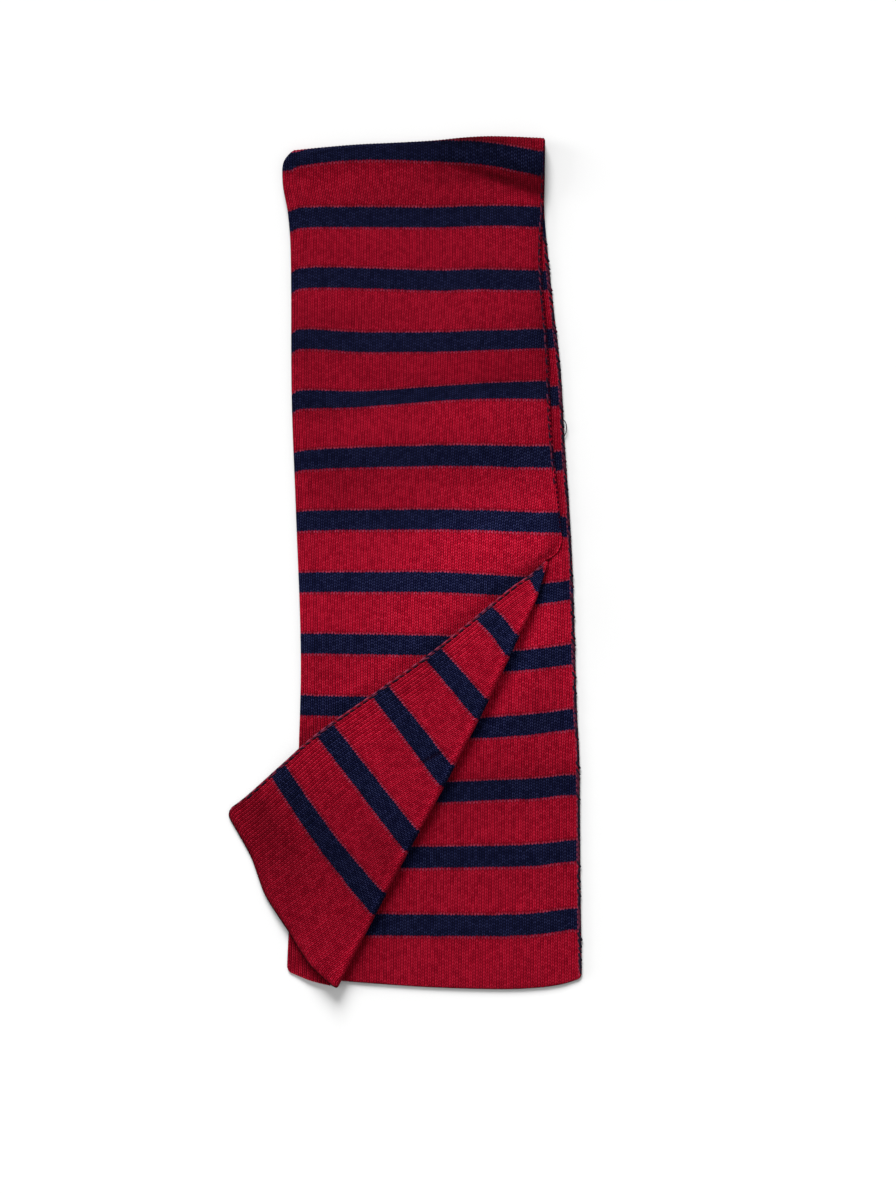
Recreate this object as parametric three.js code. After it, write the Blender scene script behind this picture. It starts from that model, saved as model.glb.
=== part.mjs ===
// A striped knit scarf, folded in half crosswise and laid flat, with the lower right corner of its
// front leaf turned back on a diagonal. Its far end hangs past the left side down to the surface.
// Millimetres. +X is the right of the laid scarf, +Y its top fold, +Z up from the surface it lies on.
// The origin is on that surface, under the middle of the whole part. Places on the scarf are given
// by how far they are across from the middle and how far down from the highest point of the top fold.
import * as THREE from 'three';

// The cloth
const CLOTH = 3; // thickness of the double-faced knit
const STRIP_WIDTH = 260; // from selvedge to selvedge
const FOLDED_LENGTH = 852; // from the top fold to the lowest hem
const SEAM_GAP = 0.5; // where one stretch of the strip ends and the next begins
const LAYER_GAP = 0.4; // between one layer and the next
const EDGE_HALF = 0.45; // what is left of half the thickness at a rounded edge

// The top fold, a soft roll that joins the two leaves
const TOP_LAP = 10; // how far the roll reaches under, before the back leaf begins
const TOP_LEFT_CORNER = 18;
const TOP_RIGHT_CORNER = 4;
const TOP_FOLD_FADES = [20, 110]; // where the leaves' rows stop following the fold's slope

// The side selvedges' drop where a layer reaches past the one under it
const DROP = 30;
const DROP_STARTS = 2; // how far past the edge under it a layer begins to come down
const BRIDGE = 16; // how much later the turned corner comes down than the leaf under it
const OVERHANG_DROP = 40;

// The turned corner
const FOLD_RISE = 5; // how far its diagonal fold stands proud
const FOLD_RISE_AT_TOP = 0.6;
const FOLD_OPENS = 0.2; // share of its length where it has its full rise
const FOLD_REACH = 70; // how far from the fold it has settled
const FOLD_LAP = 2; // flat stretch under the fold
const FAR_CORNER = 10;
const HEM_BAND = 0.84; // share of its length where the hem's own bow begins
const HEM_CORNER = 5;

const TOP_FOLD = [
  { across: -122, down: 15 }, { across: -83, down: 11 }, { across: -47, down: 8 },
  { across: -5, down: 6 }, { across: 30, down: 4 }, { across: 61, down: 1 },
  { across: 90, down: 0 }, { across: 140, down: 2 },
];
const TOP_ROLL = [
  { across: -122, reach: 34, height: 3, crease: 0 }, { across: 20, reach: 30, height: 3.2, crease: 0 },
  { across: 45, reach: 27, height: 4, crease: 0.6 }, { across: 85, reach: 41, height: 6, crease: 1 },
  { across: 140, reach: 60, height: 7, crease: 1 },
];
const FRONT_LEFT = [
  { down: 0, across: -122 }, { down: 33, across: -122 }, { down: 69, across: -117 },
  { down: 117, across: -114 }, { down: 261, across: -113 }, { down: 369, across: -109 },
  { down: 513, across: -104 }, { down: 609, across: -106 }, { down: 801, across: -116 },
  { down: FOLDED_LENGTH, across: -118 },
];
const FRONT_RIGHT = [
  { down: 0, across: 140 }, { down: 69, across: 139 }, { down: 113, across: 136.5 },
  { down: 150, across: 138 }, { down: 215, across: 143.5 }, { down: 290, across: 146.5 },
  { down: 378, across: 155 }, { down: 400, across: 156.5 }, { down: 410, across: 155 },
  { down: 416, across: 151.5 }, { down: 420.5, across: 146 }, { down: 423.2, across: 138.2 },
];
const BACK_RIGHT = [
  { down: 0, across: 139 }, { down: 75, across: 139.5 }, { down: 117, across: 143 },
  { down: 165, across: 148 }, { down: 237, across: 156 }, { down: 309, across: 160 },
  { down: 381, across: 165 }, { down: 453, across: 168.5 }, { down: 573, across: 172 },
  { down: 621, across: 174.5 }, { down: 741, across: 175.5 }, { down: FOLDED_LENGTH, across: 177 },
];
const FRONT_HEM = [
  { across: -118, down: 834 }, { across: -95, down: 843 }, { across: -71, down: 849 },
  { across: -60, down: FOLDED_LENGTH },
];
const BACK_HEM = [
  { across: -84, down: 842 }, { across: -35, down: 846 }, { across: 25, down: 850 },
  { across: 97, down: FOLDED_LENGTH }, { across: 133, down: 850.5 }, { across: 157, down: 847 },
  { across: 177, down: 841 },
];
// Soft swellings of the front leaf: the long way of each runs across, turned by some degrees.
const SWELLINGS = [
  { across: 60, down: 214, long: 95, wide: 24, turn: 3, height: 2.4 },
  { across: 55, down: 300, long: 90, wide: 27, turn: 2, height: 2.2 },
  { across: 112, down: 462, long: 78, wide: 56, turn: 35, height: 8 },
];
const DIAGONAL_FOLD = [
  { across: 145, down: 426 }, { across: 133, down: 459 }, { across: 112.5, down: 503 },
  { across: 84, down: 563 }, { across: 38, down: 652 }, { across: 4, down: 714 },
  { across: -31, down: 781 }, { across: -67, down: 850 },
];
const CORNER_SELVEDGE = [
  { across: 139.5, down: 424.5 }, { across: 124, down: 438 }, { across: 105, down: 451 },
  { across: 66, down: 483 }, { across: 26, down: 515 }, { across: -30, down: 555 },
  { across: -87, down: 595 }, { across: -123, down: 627 }, { across: -161, down: 661 },
  { across: -180, down: 674 },
];
// The bow of the turned corner's hem, by the share of the way from the fold to the far corner
const HEM_BOW = [
  { share: 0, out: 0 }, { share: 0.08, out: 5 }, { share: 0.17, out: 8.7 }, { share: 0.365, out: 9.4 },
  { share: 0.57, out: 10.2 }, { share: 0.66, out: 6.9 }, { share: 0.78, out: 2.1 }, { share: 1, out: 0 },
];

// How finely the walls are divided
const COLUMNS = 17;
const ROW_STEP = 27;
const BACK_ROW_STEP = 42;
const ROLL_STEPS = 8;
const ROLL_ROWS = [14, 18, 24, 30, 37, 44, 52, 60, 70, 84];
const APEX_ROWS = [400, 410, 416, 420.5, 423.2, 430];
const CORNER_ROWS = 22;
const CORNER_COLUMNS = 12;

const { degToRad, lerp, smoothstep } = THREE.MathUtils;
const HALF = CLOTH / 2;
const LAYER = CLOTH + LAYER_GAP;
const RIM = [0, 0.12 * CLOTH, HALF]; // distances from a rounded edge that make its round

// The value of one column of a table at a value of another, on a smooth curve through its rows.
function curveOf(rows, at, of) {
  const last = rows.length - 1;
  const slope = (i) => {
    const [a, b] = [rows[Math.max(i - 1, 0)], rows[Math.min(i + 1, last)]];
    return (b[of] - a[of]) / (b[at] - a[at]);
  };
  return (value) => {
    const x = THREE.MathUtils.clamp(value, rows[0][at], rows[last][at]);
    const i = Math.max(0, rows.findLastIndex((row, k) => k < last && row[at] <= x));
    const [a, b] = [rows[i], rows[i + 1]];
    const step = b[at] - a[at];
    const t = (x - a[at]) / step;
    const bend = (t - 1) * slope(i) + t * slope(i + 1);
    const rise = (b[of] - a[of]) / step;
    return lerp(a[of], b[of], t) + t * (1 - t) * step * ((2 * t - 1) * rise - bend);
  };
}

const topFold = curveOf(TOP_FOLD, 'across', 'down');
const rollReach = curveOf(TOP_ROLL, 'across', 'reach');
const rollHeight = curveOf(TOP_ROLL, 'across', 'height');
const rollCrease = curveOf(TOP_ROLL, 'across', 'crease');
const frontLeft = curveOf(FRONT_LEFT, 'down', 'across');
const frontRight = curveOf(FRONT_RIGHT, 'down', 'across');
const backRight = curveOf(BACK_RIGHT, 'down', 'across');
const frontHem = curveOf(FRONT_HEM, 'across', 'down');
const backHem = curveOf(BACK_HEM, 'across', 'down');
const hemBow = curveOf(HEM_BOW, 'share', 'out');
const backLeft = (down) => Math.max(frontLeft(down) + HALF, backRight(down) - STRIP_WIDTH);

const place = (across, down, height) => new THREE.Vector3(across, FOLDED_LENGTH / 2 - down, height);
const planCurve = (rows) => new THREE.SplineCurve(
  rows.map(({ across, down }) => new THREE.Vector2(across, down)));

// How far an edge draws in at a distance from the end of a corner with a round of some radius
function cornerPull(radius, distance) {
  const inside = THREE.MathUtils.clamp(radius - distance, 0, radius);
  return radius - Math.sqrt(radius * radius - inside * inside);
}

// Half the cloth's thickness at a distance from its rounded edge
function halfAt(distance) {
  const inside = Math.max(0, HALF - Math.max(0, distance));
  return Math.max(EDGE_HALF, Math.sqrt(HALF * HALF - inside * inside));
}

// Distances along a length: close together at a rounded edge, even between
function divide(length, steps, roundStart, roundEnd) {
  const start = roundStart ? RIM : [0];
  const end = roundEnd ? RIM.map((d) => length - d).reverse() : [length];
  const [from, to] = [start.at(-1), end[0]];
  const between = Array.from({ length: steps - 1 }, (_, k) => lerp(from, to, (k + 1) / steps));
  return [...start, ...between, ...end];
}

// How a layer comes down past the edge of the one under it: 1 over it, 0 clear of it
const over = (pastEdge, drop) => smoothstep(pastEdge, -drop - DROP_STARTS, -DROP_STARTS);

function swelling(across, down) {
  return SWELLINGS.reduce((sum, s) => {
    const at = new THREE.Vector2(across - s.across, s.down - down);
    at.rotateAround(new THREE.Vector2(), -degToRad(s.turn));
    return sum + s.height * Math.exp(-0.5 * ((at.x / s.long) ** 2 + (at.y / s.wide) ** 2));
  }, 0);
}

// Height of the front leaf's middle, away from the top roll
function frontHeight(across, down, drop = DROP) {
  const level = HALF + LAYER * over(across - backLeft(down), drop);
  return level + swelling(across, down) * over(across - frontLeft(down) - DROP, DROP);
}

// How far the roll at the top fold lifts the front leaf, at a distance from the fold
function rollLift(across, distance) {
  const t = Math.min(1, distance / rollReach(across));
  return rollHeight(across) * lerp((1 - t * t) ** 2, 1 - t ** 4, rollCrease(across));
}

// How far below the top fold's outside its round ends, at a share of the width
function rollStart(share) {
  const across = lerp(frontLeft(0), frontRight(0), share);
  return (LAYER + rollLift(across, 0)) / 2 + HALF;
}

// Height of the turned corner's middle where it has settled
function cornerHeight(across, down) {
  const under = frontHeight(Math.max(across, frontLeft(down)), down, DROP + BRIDGE);
  return HALF + (under - HALF + LAYER) * over(across - frontLeft(down), OVERHANG_DROP);
}

// A closed wall round a grid of points on the middle of the cloth. Each point is moved half the
// thickness out and in along the surface's own normal, and the four borders are joined.
function wall(middle, half) {
  const [rows, columns] = [middle.length, middle[0].length];
  const clampRow = (i) => middle[Math.min(Math.max(i, 0), rows - 1)];
  const normalAt = (i, j) => {
    const [left, right] = [Math.max(j - 1, 0), Math.min(j + 1, columns - 1)];
    const along = clampRow(i + 1)[j].clone().sub(clampRow(i - 1)[j]);
    const acrossRow = middle[i][right].clone().sub(middle[i][left]);
    return along.cross(acrossRow).normalize();
  };
  const positions = [];
  for (const side of [1, -1]) {
    middle.forEach((row, i) => row.forEach((point, j) => {
      const moved = point.clone().addScaledVector(normalAt(i, j), side * half(i, j));
      positions.push(...moved.toArray());
    }));
  }
  const outer = (i, j) => i * columns + j;
  const inner = (i, j) => rows * columns + outer(i, j);
  const faces = [];
  for (let i = 0; i < rows - 1; i += 1) {
    for (let j = 0; j < columns - 1; j += 1) {
      const corners = [[i, j], [i + 1, j], [i + 1, j + 1], [i, j + 1]];
      const [a, b, c, d] = corners.map(([r, s]) => outer(r, s));
      const [e, f, g, h] = corners.map(([r, s]) => inner(r, s));
      faces.push(a, b, c, a, c, d, e, g, f, e, h, g);
    }
  }
  const [lastRow, lastColumn] = [rows - 1, columns - 1];
  const border = [
    ...Array.from({ length: lastRow }, (_, i) => [i, 0]),
    ...Array.from({ length: lastColumn }, (_, j) => [lastRow, j]),
    ...Array.from({ length: lastRow }, (_, i) => [lastRow - i, lastColumn]),
    ...Array.from({ length: lastColumn }, (_, j) => [0, lastColumn - j]),
  ];
  border.forEach((from, k) => {
    const to = border[(k + 1) % border.length];
    const [a, b, c, d] = [outer(...to), outer(...from), inner(...from), inner(...to)];
    faces.push(a, b, c, a, c, d);
  });
  const geometry = new THREE.BufferGeometry();
  geometry.setAttribute('position', new THREE.Float32BufferAttribute(positions, 3));
  geometry.setIndex(faces);
  geometry.computeVertexNormals();
  return geometry;
}

// The down place of a leaf's row: rows follow the sloping fold at the top and the hem at the bottom.
function rowDown(distance, across, hem) {
  const nearTop = 1 - smoothstep(distance, ...TOP_FOLD_FADES);
  const nearHem = smoothstep(distance, FOLDED_LENGTH - TOP_FOLD_FADES[1], FOLDED_LENGTH);
  return distance + topFold(across) * nearTop + (hem(across) - FOLDED_LENGTH) * nearHem;
}

function backLeaf() {
  const start = rollStart(0.5) + TOP_LAP + SEAM_GAP;
  const length = FOLDED_LENGTH - start;
  const along = divide(length, Math.round(length / BACK_ROW_STEP), false, true);
  const widths = divide(STRIP_WIDTH, COLUMNS, true, true);
  const middle = along.map((fromStart) => widths.map((width) => {
    const share = width / STRIP_WIDTH;
    const parted = rollStart(share) + TOP_LAP + SEAM_GAP;
    const distance = parted + fromStart * (FOLDED_LENGTH - parted) / length;
    const pull = cornerPull(HEM_CORNER, FOLDED_LENGTH - distance);
    const across = lerp(backLeft(distance) + pull, backRight(distance) - pull, share);
    return place(across, rowDown(distance, across, backHem), HALF);
  }));
  return wall(middle, (i, j) => Math.min(
    halfAt(widths[j]), halfAt(STRIP_WIDTH - widths[j]), halfAt(length - along[i])));
}

// The diagonal fold: its line, the way in from it, and the roll's radius, at a share of its length
const foldLine = planCurve(DIAGONAL_FOLD);
const selvedgeLine = planCurve(CORNER_SELVEDGE);
function foldAt(share) {
  const tangent = foldLine.getTangentAt(share);
  const rise = lerp(FOLD_RISE_AT_TOP, FOLD_RISE, smoothstep(share, 0, FOLD_OPENS));
  const radius = (LAYER + rise) / 2;
  const inward = new THREE.Vector2(-tangent.y, tangent.x);
  return { edge: foldLine.getPointAt(share), inward, rise, radius, start: radius + HALF };
}
const inFromFold = (fold, distance) => fold.edge.clone().addScaledVector(fold.inward, distance);

// Where the front leaf is parted from the turned corner
const PARTING_STEPS = 48;
const PARTING = Array.from({ length: PARTING_STEPS + 1 }, (_, k) => {
  const fold = foldAt(k / PARTING_STEPS);
  const at = inFromFold(fold, fold.start + FOLD_LAP + SEAM_GAP);
  return { down: at.y, across: at.x };
});
const parting = curveOf(PARTING, 'down', 'across');
const frontEdge = (down) => (down < PARTING[0].down ? frontRight(down) : parting(down));

function frontLeaf() {
  const shares = divide(STRIP_WIDTH, COLUMNS, true, true).map((width) => width / STRIP_WIDTH);
  const rolled = shares.map(rollStart);
  const turns = Array.from({ length: ROLL_STEPS + 1 }, (_, k) => lerp(-90, 90, k / ROLL_STEPS));
  const onward = (from, to) => divide(to - from, Math.round((to - from) / ROW_STEP), false, false)
    .slice(1).map((distance) => from + distance);
  const flat = [
    ...ROLL_ROWS, ...onward(ROLL_ROWS.at(-1), APEX_ROWS[0]), ...APEX_ROWS.slice(1),
    ...onward(APEX_ROWS.at(-1), FOLDED_LENGTH - HEM_CORNER),
    ...RIM.map((distance) => FOLDED_LENGTH - distance).reverse(),
  ];
  const point = (distance, share, height) => {
    const drawnIn = cornerPull(TOP_LEFT_CORNER, distance) + cornerPull(HEM_CORNER, FOLDED_LENGTH - distance);
    const right = frontEdge(distance) - cornerPull(TOP_RIGHT_CORNER, distance);
    const across = lerp(frontLeft(distance) + drawnIn, right, share);
    const down = rowDown(distance, across, frontHem);
    return place(across, down, height ?? frontHeight(across, down) + rollLift(across, distance));
  };
  const middle = [
    shares.map((share, j) => point(rolled[j] + TOP_LAP, share, HALF)),
    ...turns.map((turn) => shares.map((share, j) => {
      const radius = rolled[j] - HALF;
      const angle = degToRad(turn);
      return point(rolled[j] - radius * Math.cos(angle), share, HALF + radius * (1 + Math.sin(angle)));
    })),
    ...flat.map((distance) => shares.map((share) => point(distance, share))),
  ];
  const firstFlat = middle.length - flat.length;
  return wall(middle, (i, j) => {
    const distance = i < firstFlat ? 0 : flat[i - firstFlat];
    const width = frontEdge(distance) - frontLeft(distance);
    const fromRight = distance < PARTING[0].down ? width * (1 - shares[j]) : HALF;
    return Math.min(halfAt(width * shares[j]), halfAt(fromRight), halfAt(FOLDED_LENGTH - distance));
  });
}

function turnedCorner() {
  const length = selvedgeLine.getLength();
  const along = divide(length, CORNER_ROWS, false, true);
  const corner = [FAR_CORNER, FAR_CORNER / 2].map((distance) => length - distance);
  const rows = [...along.slice(0, -RIM.length), ...corner, ...along.slice(-RIM.length)];
  const shares = divide(1, CORNER_COLUMNS, false, false);
  const turns = Array.from({ length: ROLL_STEPS + 1 }, (_, k) => lerp(90, -90, k / ROLL_STEPS));
  const farEnd = selvedgeLine.getPointAt(1);
  const hemWay = farEnd.clone().sub(foldLine.getPointAt(1)).normalize();
  const outward = new THREE.Vector2(hemWay.y, -hemWay.x);
  const reaches = [];
  const middle = rows.map((distance) => {
    const share = distance / length;
    const fold = foldAt(share);
    const settled = inFromFold(fold, fold.start);
    const selvedge = selvedgeLine.getPointAt(share);
    const way = selvedge.clone().sub(settled);
    const reach = way.length() - cornerPull(FAR_CORNER, length - distance);
    way.normalize();
    const bowed = smoothstep(share, HEM_BAND, 1);
    const steps = [...RIM, ...shares.slice(1, -1).map((s) => lerp(HALF, reach, s)), reach];
    reaches.push(steps);
    const settledHeight = frontHeight(settled.x, settled.y);
    const upper = steps.map((fromSelvedge) => {
      const fromFold = reach - fromSelvedge;
      const at = settled.clone().addScaledVector(way, fromFold);
      at.addScaledVector(outward, bowed * hemBow(fromFold / reach));
      const near = Math.max(0, 1 - (fromFold / FOLD_REACH) ** 2) ** 2;
      return place(at.x, at.y, cornerHeight(at.x, at.y) + fold.rise * near);
    });
    const top = upper.at(-1).z;
    const radius = (top - settledHeight) / 2;
    const roll = turns.slice(1).map((turn) => {
      const angle = degToRad(turn);
      const at = inFromFold(fold, fold.start - fold.radius * Math.cos(angle));
      return place(at.x, at.y, top - radius * (1 - Math.sin(angle)));
    });
    const under = inFromFold(fold, fold.start + FOLD_LAP);
    return [...upper, ...roll, place(under.x, under.y, frontHeight(under.x, under.y))];
  });
  return wall(middle, (i, j) => {
    const fromSelvedge = j < reaches[i].length ? reaches[i][j] : HALF;
    return Math.min(halfAt(fromSelvedge), halfAt(length - rows[i]));
  });
}

const KNIT = { roughness: 0.9, metalness: 0 };
const LEAVES = [
  { name: 'back_leaf', build: backLeaf, color: '#7c0c1e' },
  { name: 'front_leaf', build: frontLeaf, color: '#86101f' },
  { name: 'turned_corner', build: turnedCorner, color: '#900f22' },
];

const group = new THREE.Group();
for (const { name, build, color } of LEAVES) {
  const mesh = new THREE.Mesh(build(), new THREE.MeshStandardMaterial({ ...KNIT, color }));
  mesh.name = name;
  group.add(mesh);
}
const middle = new THREE.Box3().setFromObject(group).getCenter(new THREE.Vector3());
group.position.set(-middle.x, -middle.y, 0);

export default group;
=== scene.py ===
"""A striped knit scarf, folded in half and laid flat with one corner turned back.

Places on the scarf are worked out in millimetres, by how far they are across from the middle and
how far down from the highest point of the top fold. Every finished mesh is in metres.
"""

import logging
import math
from dataclasses import dataclass, field
from enum import Enum
from typing import ClassVar

import bpy
import numpy as np
from numpy.typing import NDArray
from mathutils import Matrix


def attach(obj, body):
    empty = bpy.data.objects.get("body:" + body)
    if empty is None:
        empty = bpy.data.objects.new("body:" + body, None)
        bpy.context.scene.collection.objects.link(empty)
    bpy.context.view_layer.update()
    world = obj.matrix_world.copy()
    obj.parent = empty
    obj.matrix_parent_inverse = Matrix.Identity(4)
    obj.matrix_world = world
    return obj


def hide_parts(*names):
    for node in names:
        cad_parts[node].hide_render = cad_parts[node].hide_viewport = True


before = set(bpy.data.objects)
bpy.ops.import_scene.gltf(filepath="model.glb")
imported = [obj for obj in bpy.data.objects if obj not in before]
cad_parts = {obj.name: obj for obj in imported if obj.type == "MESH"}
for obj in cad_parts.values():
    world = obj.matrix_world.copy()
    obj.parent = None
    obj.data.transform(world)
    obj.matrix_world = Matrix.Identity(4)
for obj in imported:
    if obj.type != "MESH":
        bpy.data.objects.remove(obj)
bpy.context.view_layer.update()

LOG = logging.getLogger("scarf")
MM = 0.001
REPEAT = 22  # courses from the middle of one stripe to the next
STRIPE = 7  # courses in a stripe
RIM_STEPS = (0.1, 0.35, 0.8, 1.5)  # how far in from a rounded edge its points are
Array = NDArray[np.float64]


def smoothstep(value: Array | float, low: float, high: float) -> Array:
    """Runs from 0 at low to 1 at high with level ends."""
    t = np.clip((value - low) / (high - low), 0, 1)
    return t * t * (3 - 2 * t)


def lerp(start: Array | float, end: Array | float, share: Array | float) -> Array:
    """Goes from start to end as share goes from 0 to 1."""
    return start + (end - start) * share


@dataclass(frozen=True)
class TableCurve:
    """A smooth curve through the rows of a short table."""

    rows: tuple[tuple[float, float], ...]

    def __call__(self, value: Array | float) -> Array:
        """Reads the curve.

        Args:
            value: Where to read it, in the table's first column.

        Returns:
            The second column there, held level past the table's ends.
        """
        at, out = np.array(self.rows, float).T
        index = np.arange(len(at))
        low, high = np.maximum(index - 1, 0), np.minimum(index + 1, len(at) - 1)
        slope = (out[high] - out[low]) / (at[high] - at[low])
        x = np.clip(value, at[0], at[-1])
        i = np.clip(np.searchsorted(at, x, side="right") - 1, 0, len(at) - 2)
        step = at[i + 1] - at[i]
        t = (x - at[i]) / step
        rise = (out[i + 1] - out[i]) / step
        bend = (t - 1) * slope[i] + t * slope[i + 1]
        return lerp(out[i], out[i + 1], t) + t * (1 - t) * step * ((2 * t - 1) * rise - bend)


class PlanLine:
    """A smooth line through points of the plan, read by the share of its length."""

    SAMPLES = 4000
    NEAR = 5e-4

    def __init__(self, points: tuple[tuple[float, float], ...]) -> None:
        """Divides the line finely.

        Args:
            points: Across and down of the points that the line passes through.
        """
        at = np.array(points, float)
        place = np.linspace(0, len(at) - 1, self.SAMPLES + 1)
        i = np.minimum(place.astype(int), len(at) - 2)
        t = (place - i)[:, None]
        before, after = at[np.maximum(i - 1, 0)], at[np.minimum(i + 2, len(at) - 1)]
        start, end = at[i], at[i + 1]
        leave, arrive = (end - before) / 2, (after - start) / 2
        cubic = (2 * start - 2 * end + leave + arrive) * t**3
        square = (-3 * start + 3 * end - 2 * leave - arrive) * t**2
        self.points = cubic + square + leave * t + start
        steps = np.linalg.norm(np.diff(self.points, axis=0), axis=1)
        run = np.concatenate([[0], np.cumsum(steps)])
        self.length = float(run[-1])
        self.share = run / self.length

    def at(self, share: Array) -> Array:
        """The points at shares of the length, as rows of across and down."""
        return np.stack([np.interp(share, self.share, self.points[:, k]) for k in (0, 1)], -1)

    def tangent(self, share: Array) -> Array:
        """The unit directions at shares of the length.

        Args:
            share: Shares of the length, from 0 to 1.

        Returns:
            The directions, as rows of across and down.
        """
        ahead, behind = np.minimum(share + self.NEAR, 1), np.maximum(share - self.NEAR, 0)
        way = self.at(ahead) - self.at(behind)
        return way / np.linalg.norm(way, axis=-1, keepdims=True)


@dataclass(frozen=True)
class Swelling:
    """A soft raised place in the cloth, long one way and narrow the other."""

    across: float
    down: float
    long: float
    wide: float
    turn: float
    height: float

    def at(self, across: Array, down: Array) -> Array:
        """Its height at places of the plan.

        Args:
            across: Places across.
            down: Places down.

        Returns:
            The height at each.
        """
        turn = math.radians(self.turn)
        x, y = across - self.across, self.down - down
        lengthwise = x * math.cos(turn) + y * math.sin(turn)
        crosswise = y * math.cos(turn) - x * math.sin(turn)
        spread = (lengthwise / self.long) ** 2 + (crosswise / self.wide) ** 2
        return self.height * np.exp(-0.5 * spread)


def swelling_table(*rows: tuple[float, ...]) -> tuple[Swelling, ...]:
    """Swellings from rows of their across, down, long, wide, turn and height."""
    return tuple(Swelling(*row) for row in rows)


@dataclass(frozen=True)
class FoldPoints:
    """Where the diagonal fold is and how it rolls over, at shares of its length."""

    edge: Array
    inward: Array
    rise: Array
    radius: Array
    start: Array

    def inside(self, distance: Array | float) -> Array:
        """The plan places at distances in from the fold's edge."""
        return self.edge + self.inward * np.asarray(distance)[..., None]


@dataclass(frozen=True)
class ScarfPlan:
    """How the strip is folded and where its edges and layers lie, in millimetres."""

    cloth: float = 3.0
    strip_width: float = 260.0
    folded_length: float = 852.0
    seam_gap: float = 0.5
    layer_gap: float = 0.4
    edge_half: float = 0.45
    top_lap: float = 10.0
    top_fold_fades: tuple[float, float] = (20.0, 110.0)
    drop: float = 30.0
    drop_starts: float = 2.0
    bridge: float = 16.0
    overhang_drop: float = 40.0
    fold_rise: float = 5.0
    fold_rise_at_top: float = 0.6
    fold_opens: float = 0.2
    fold_lap: float = 2.0
    parting_rows: int = 49
    centring: tuple[float, float] = (-0.075, 0.035)
    top_fold: TableCurve = TableCurve(
        ((-122, 15), (-83, 11), (-47, 8), (-5, 6), (30, 4), (61, 1), (90, 0), (140, 2))
    )
    roll_reach: TableCurve = TableCurve(((-122, 34), (20, 30), (45, 27), (85, 41), (140, 60)))
    roll_height: TableCurve = TableCurve(((-122, 3), (20, 3.2), (45, 4), (85, 6), (140, 7)))
    roll_crease: TableCurve = TableCurve(((-122, 0), (20, 0), (45, 0.6), (85, 1), (140, 1)))
    front_left: TableCurve = TableCurve(
        ((0, -122), (33, -122), (69, -117), (117, -114), (261, -113), (369, -109), (513, -104))
        + ((609, -106), (801, -116), (852, -118))
    )
    front_right: TableCurve = TableCurve(
        ((0, 140), (69, 139), (113, 136.5), (150, 138), (215, 143.5), (290, 146.5), (378, 155))
        + ((400, 156.5), (410, 155), (416, 151.5), (420.5, 146), (423.2, 138.2))
    )
    back_right: TableCurve = TableCurve(
        ((0, 139), (75, 139.5), (117, 143), (165, 148), (237, 156), (309, 160), (381, 165))
        + ((453, 168.5), (573, 172), (621, 174.5), (741, 175.5), (852, 177))
    )
    front_hem: TableCurve = TableCurve(((-118, 834), (-95, 843), (-71, 849), (-60, 852)))
    back_hem: TableCurve = TableCurve(
        ((-84, 842), (-35, 846), (25, 850), (97, 852), (133, 850.5), (157, 847), (177, 841))
    )
    hem_bow: TableCurve = TableCurve(
        ((0, 0), (0.08, 5), (0.17, 8.7), (0.365, 9.4), (0.57, 10.2), (0.66, 6.9), (0.78, 2.1), (1, 0))
    )
    swellings: tuple[Swelling, ...] = swelling_table(
        (60, 214, 95, 24, 3, 2.4), (55, 300, 90, 27, 2, 2.2), (112, 462, 78, 56, 35, 8),
    )
    creases: tuple[Swelling, ...] = swelling_table(
        (98, 243, 48, 8, -3, -0.9), (92, 276, 52, 9, 2, 0.8), (-82, 338, 34, 12, 6, 0.7),
        (-70, 366, 42, 13, -4, -0.6), (-20, 118, 60, 14, 5, 0.5), (30, 392, 66, 16, -7, 0.9),
        (-60, 452, 48, 14, 8, 0.6), (152, 418, 26, 24, 0, -3.4), (132, 474, 48, 30, 62, -2.4),
    )
    fold_line: PlanLine = PlanLine(
        ((145, 426), (133, 459), (112.5, 503), (84, 563), (38, 652), (4, 714), (-31, 781), (-67, 850))
    )
    selvedge_line: PlanLine = PlanLine(
        ((139.5, 424.5), (124, 438), (105, 451), (66, 483), (26, 515), (-30, 555), (-87, 595))
        + ((-123, 627), (-161, 661), (-180, 674))
    )

    @property
    def half(self) -> float:
        """Half the cloth's thickness."""
        return self.cloth / 2

    @property
    def layer(self) -> float:
        """From the middle of one layer to the middle of the next."""
        return self.cloth + self.layer_gap

    def back_left(self, down: Array) -> Array:
        """The back leaf's left selvedge."""
        width = self.back_right(down) - self.strip_width
        return np.maximum(self.front_left(down) + self.half, width)

    def corner_pull(self, radius: float, distance: Array) -> Array:
        """How far an edge draws in near the end of a rounded corner."""
        inside = np.clip(radius - distance, 0, radius)
        return radius - np.sqrt(radius * radius - inside * inside)

    def half_at(self, distance: Array) -> Array:
        """Half the thickness at a distance from a rounded edge."""
        inside = np.maximum(0, self.half - np.maximum(0, distance))
        return np.maximum(self.edge_half, np.sqrt(self.half**2 - inside**2))

    def over(self, past_edge: Array, drop: float) -> Array:
        """How a layer comes down past the edge under it: 1 over it, 0 clear of it."""
        return smoothstep(past_edge, -drop - self.drop_starts, -self.drop_starts)

    def front_height(self, across: Array, down: Array, drop: float | None = None) -> Array:
        """The height of the front leaf's middle, away from the top roll.

        Args:
            across: Places across.
            down: Places down.
            drop: How far past the edge the leaf has come down, or None for its own drop.

        Returns:
            The heights there.
        """
        level = self.layer * self.over(across - self.back_left(down), drop or self.drop)
        raised = sum(s.at(across, down) for s in self.swellings + self.creases)
        raised = raised * self.over(across - self.front_left(down) - self.drop, self.drop)
        return self.half + level + raised

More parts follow.
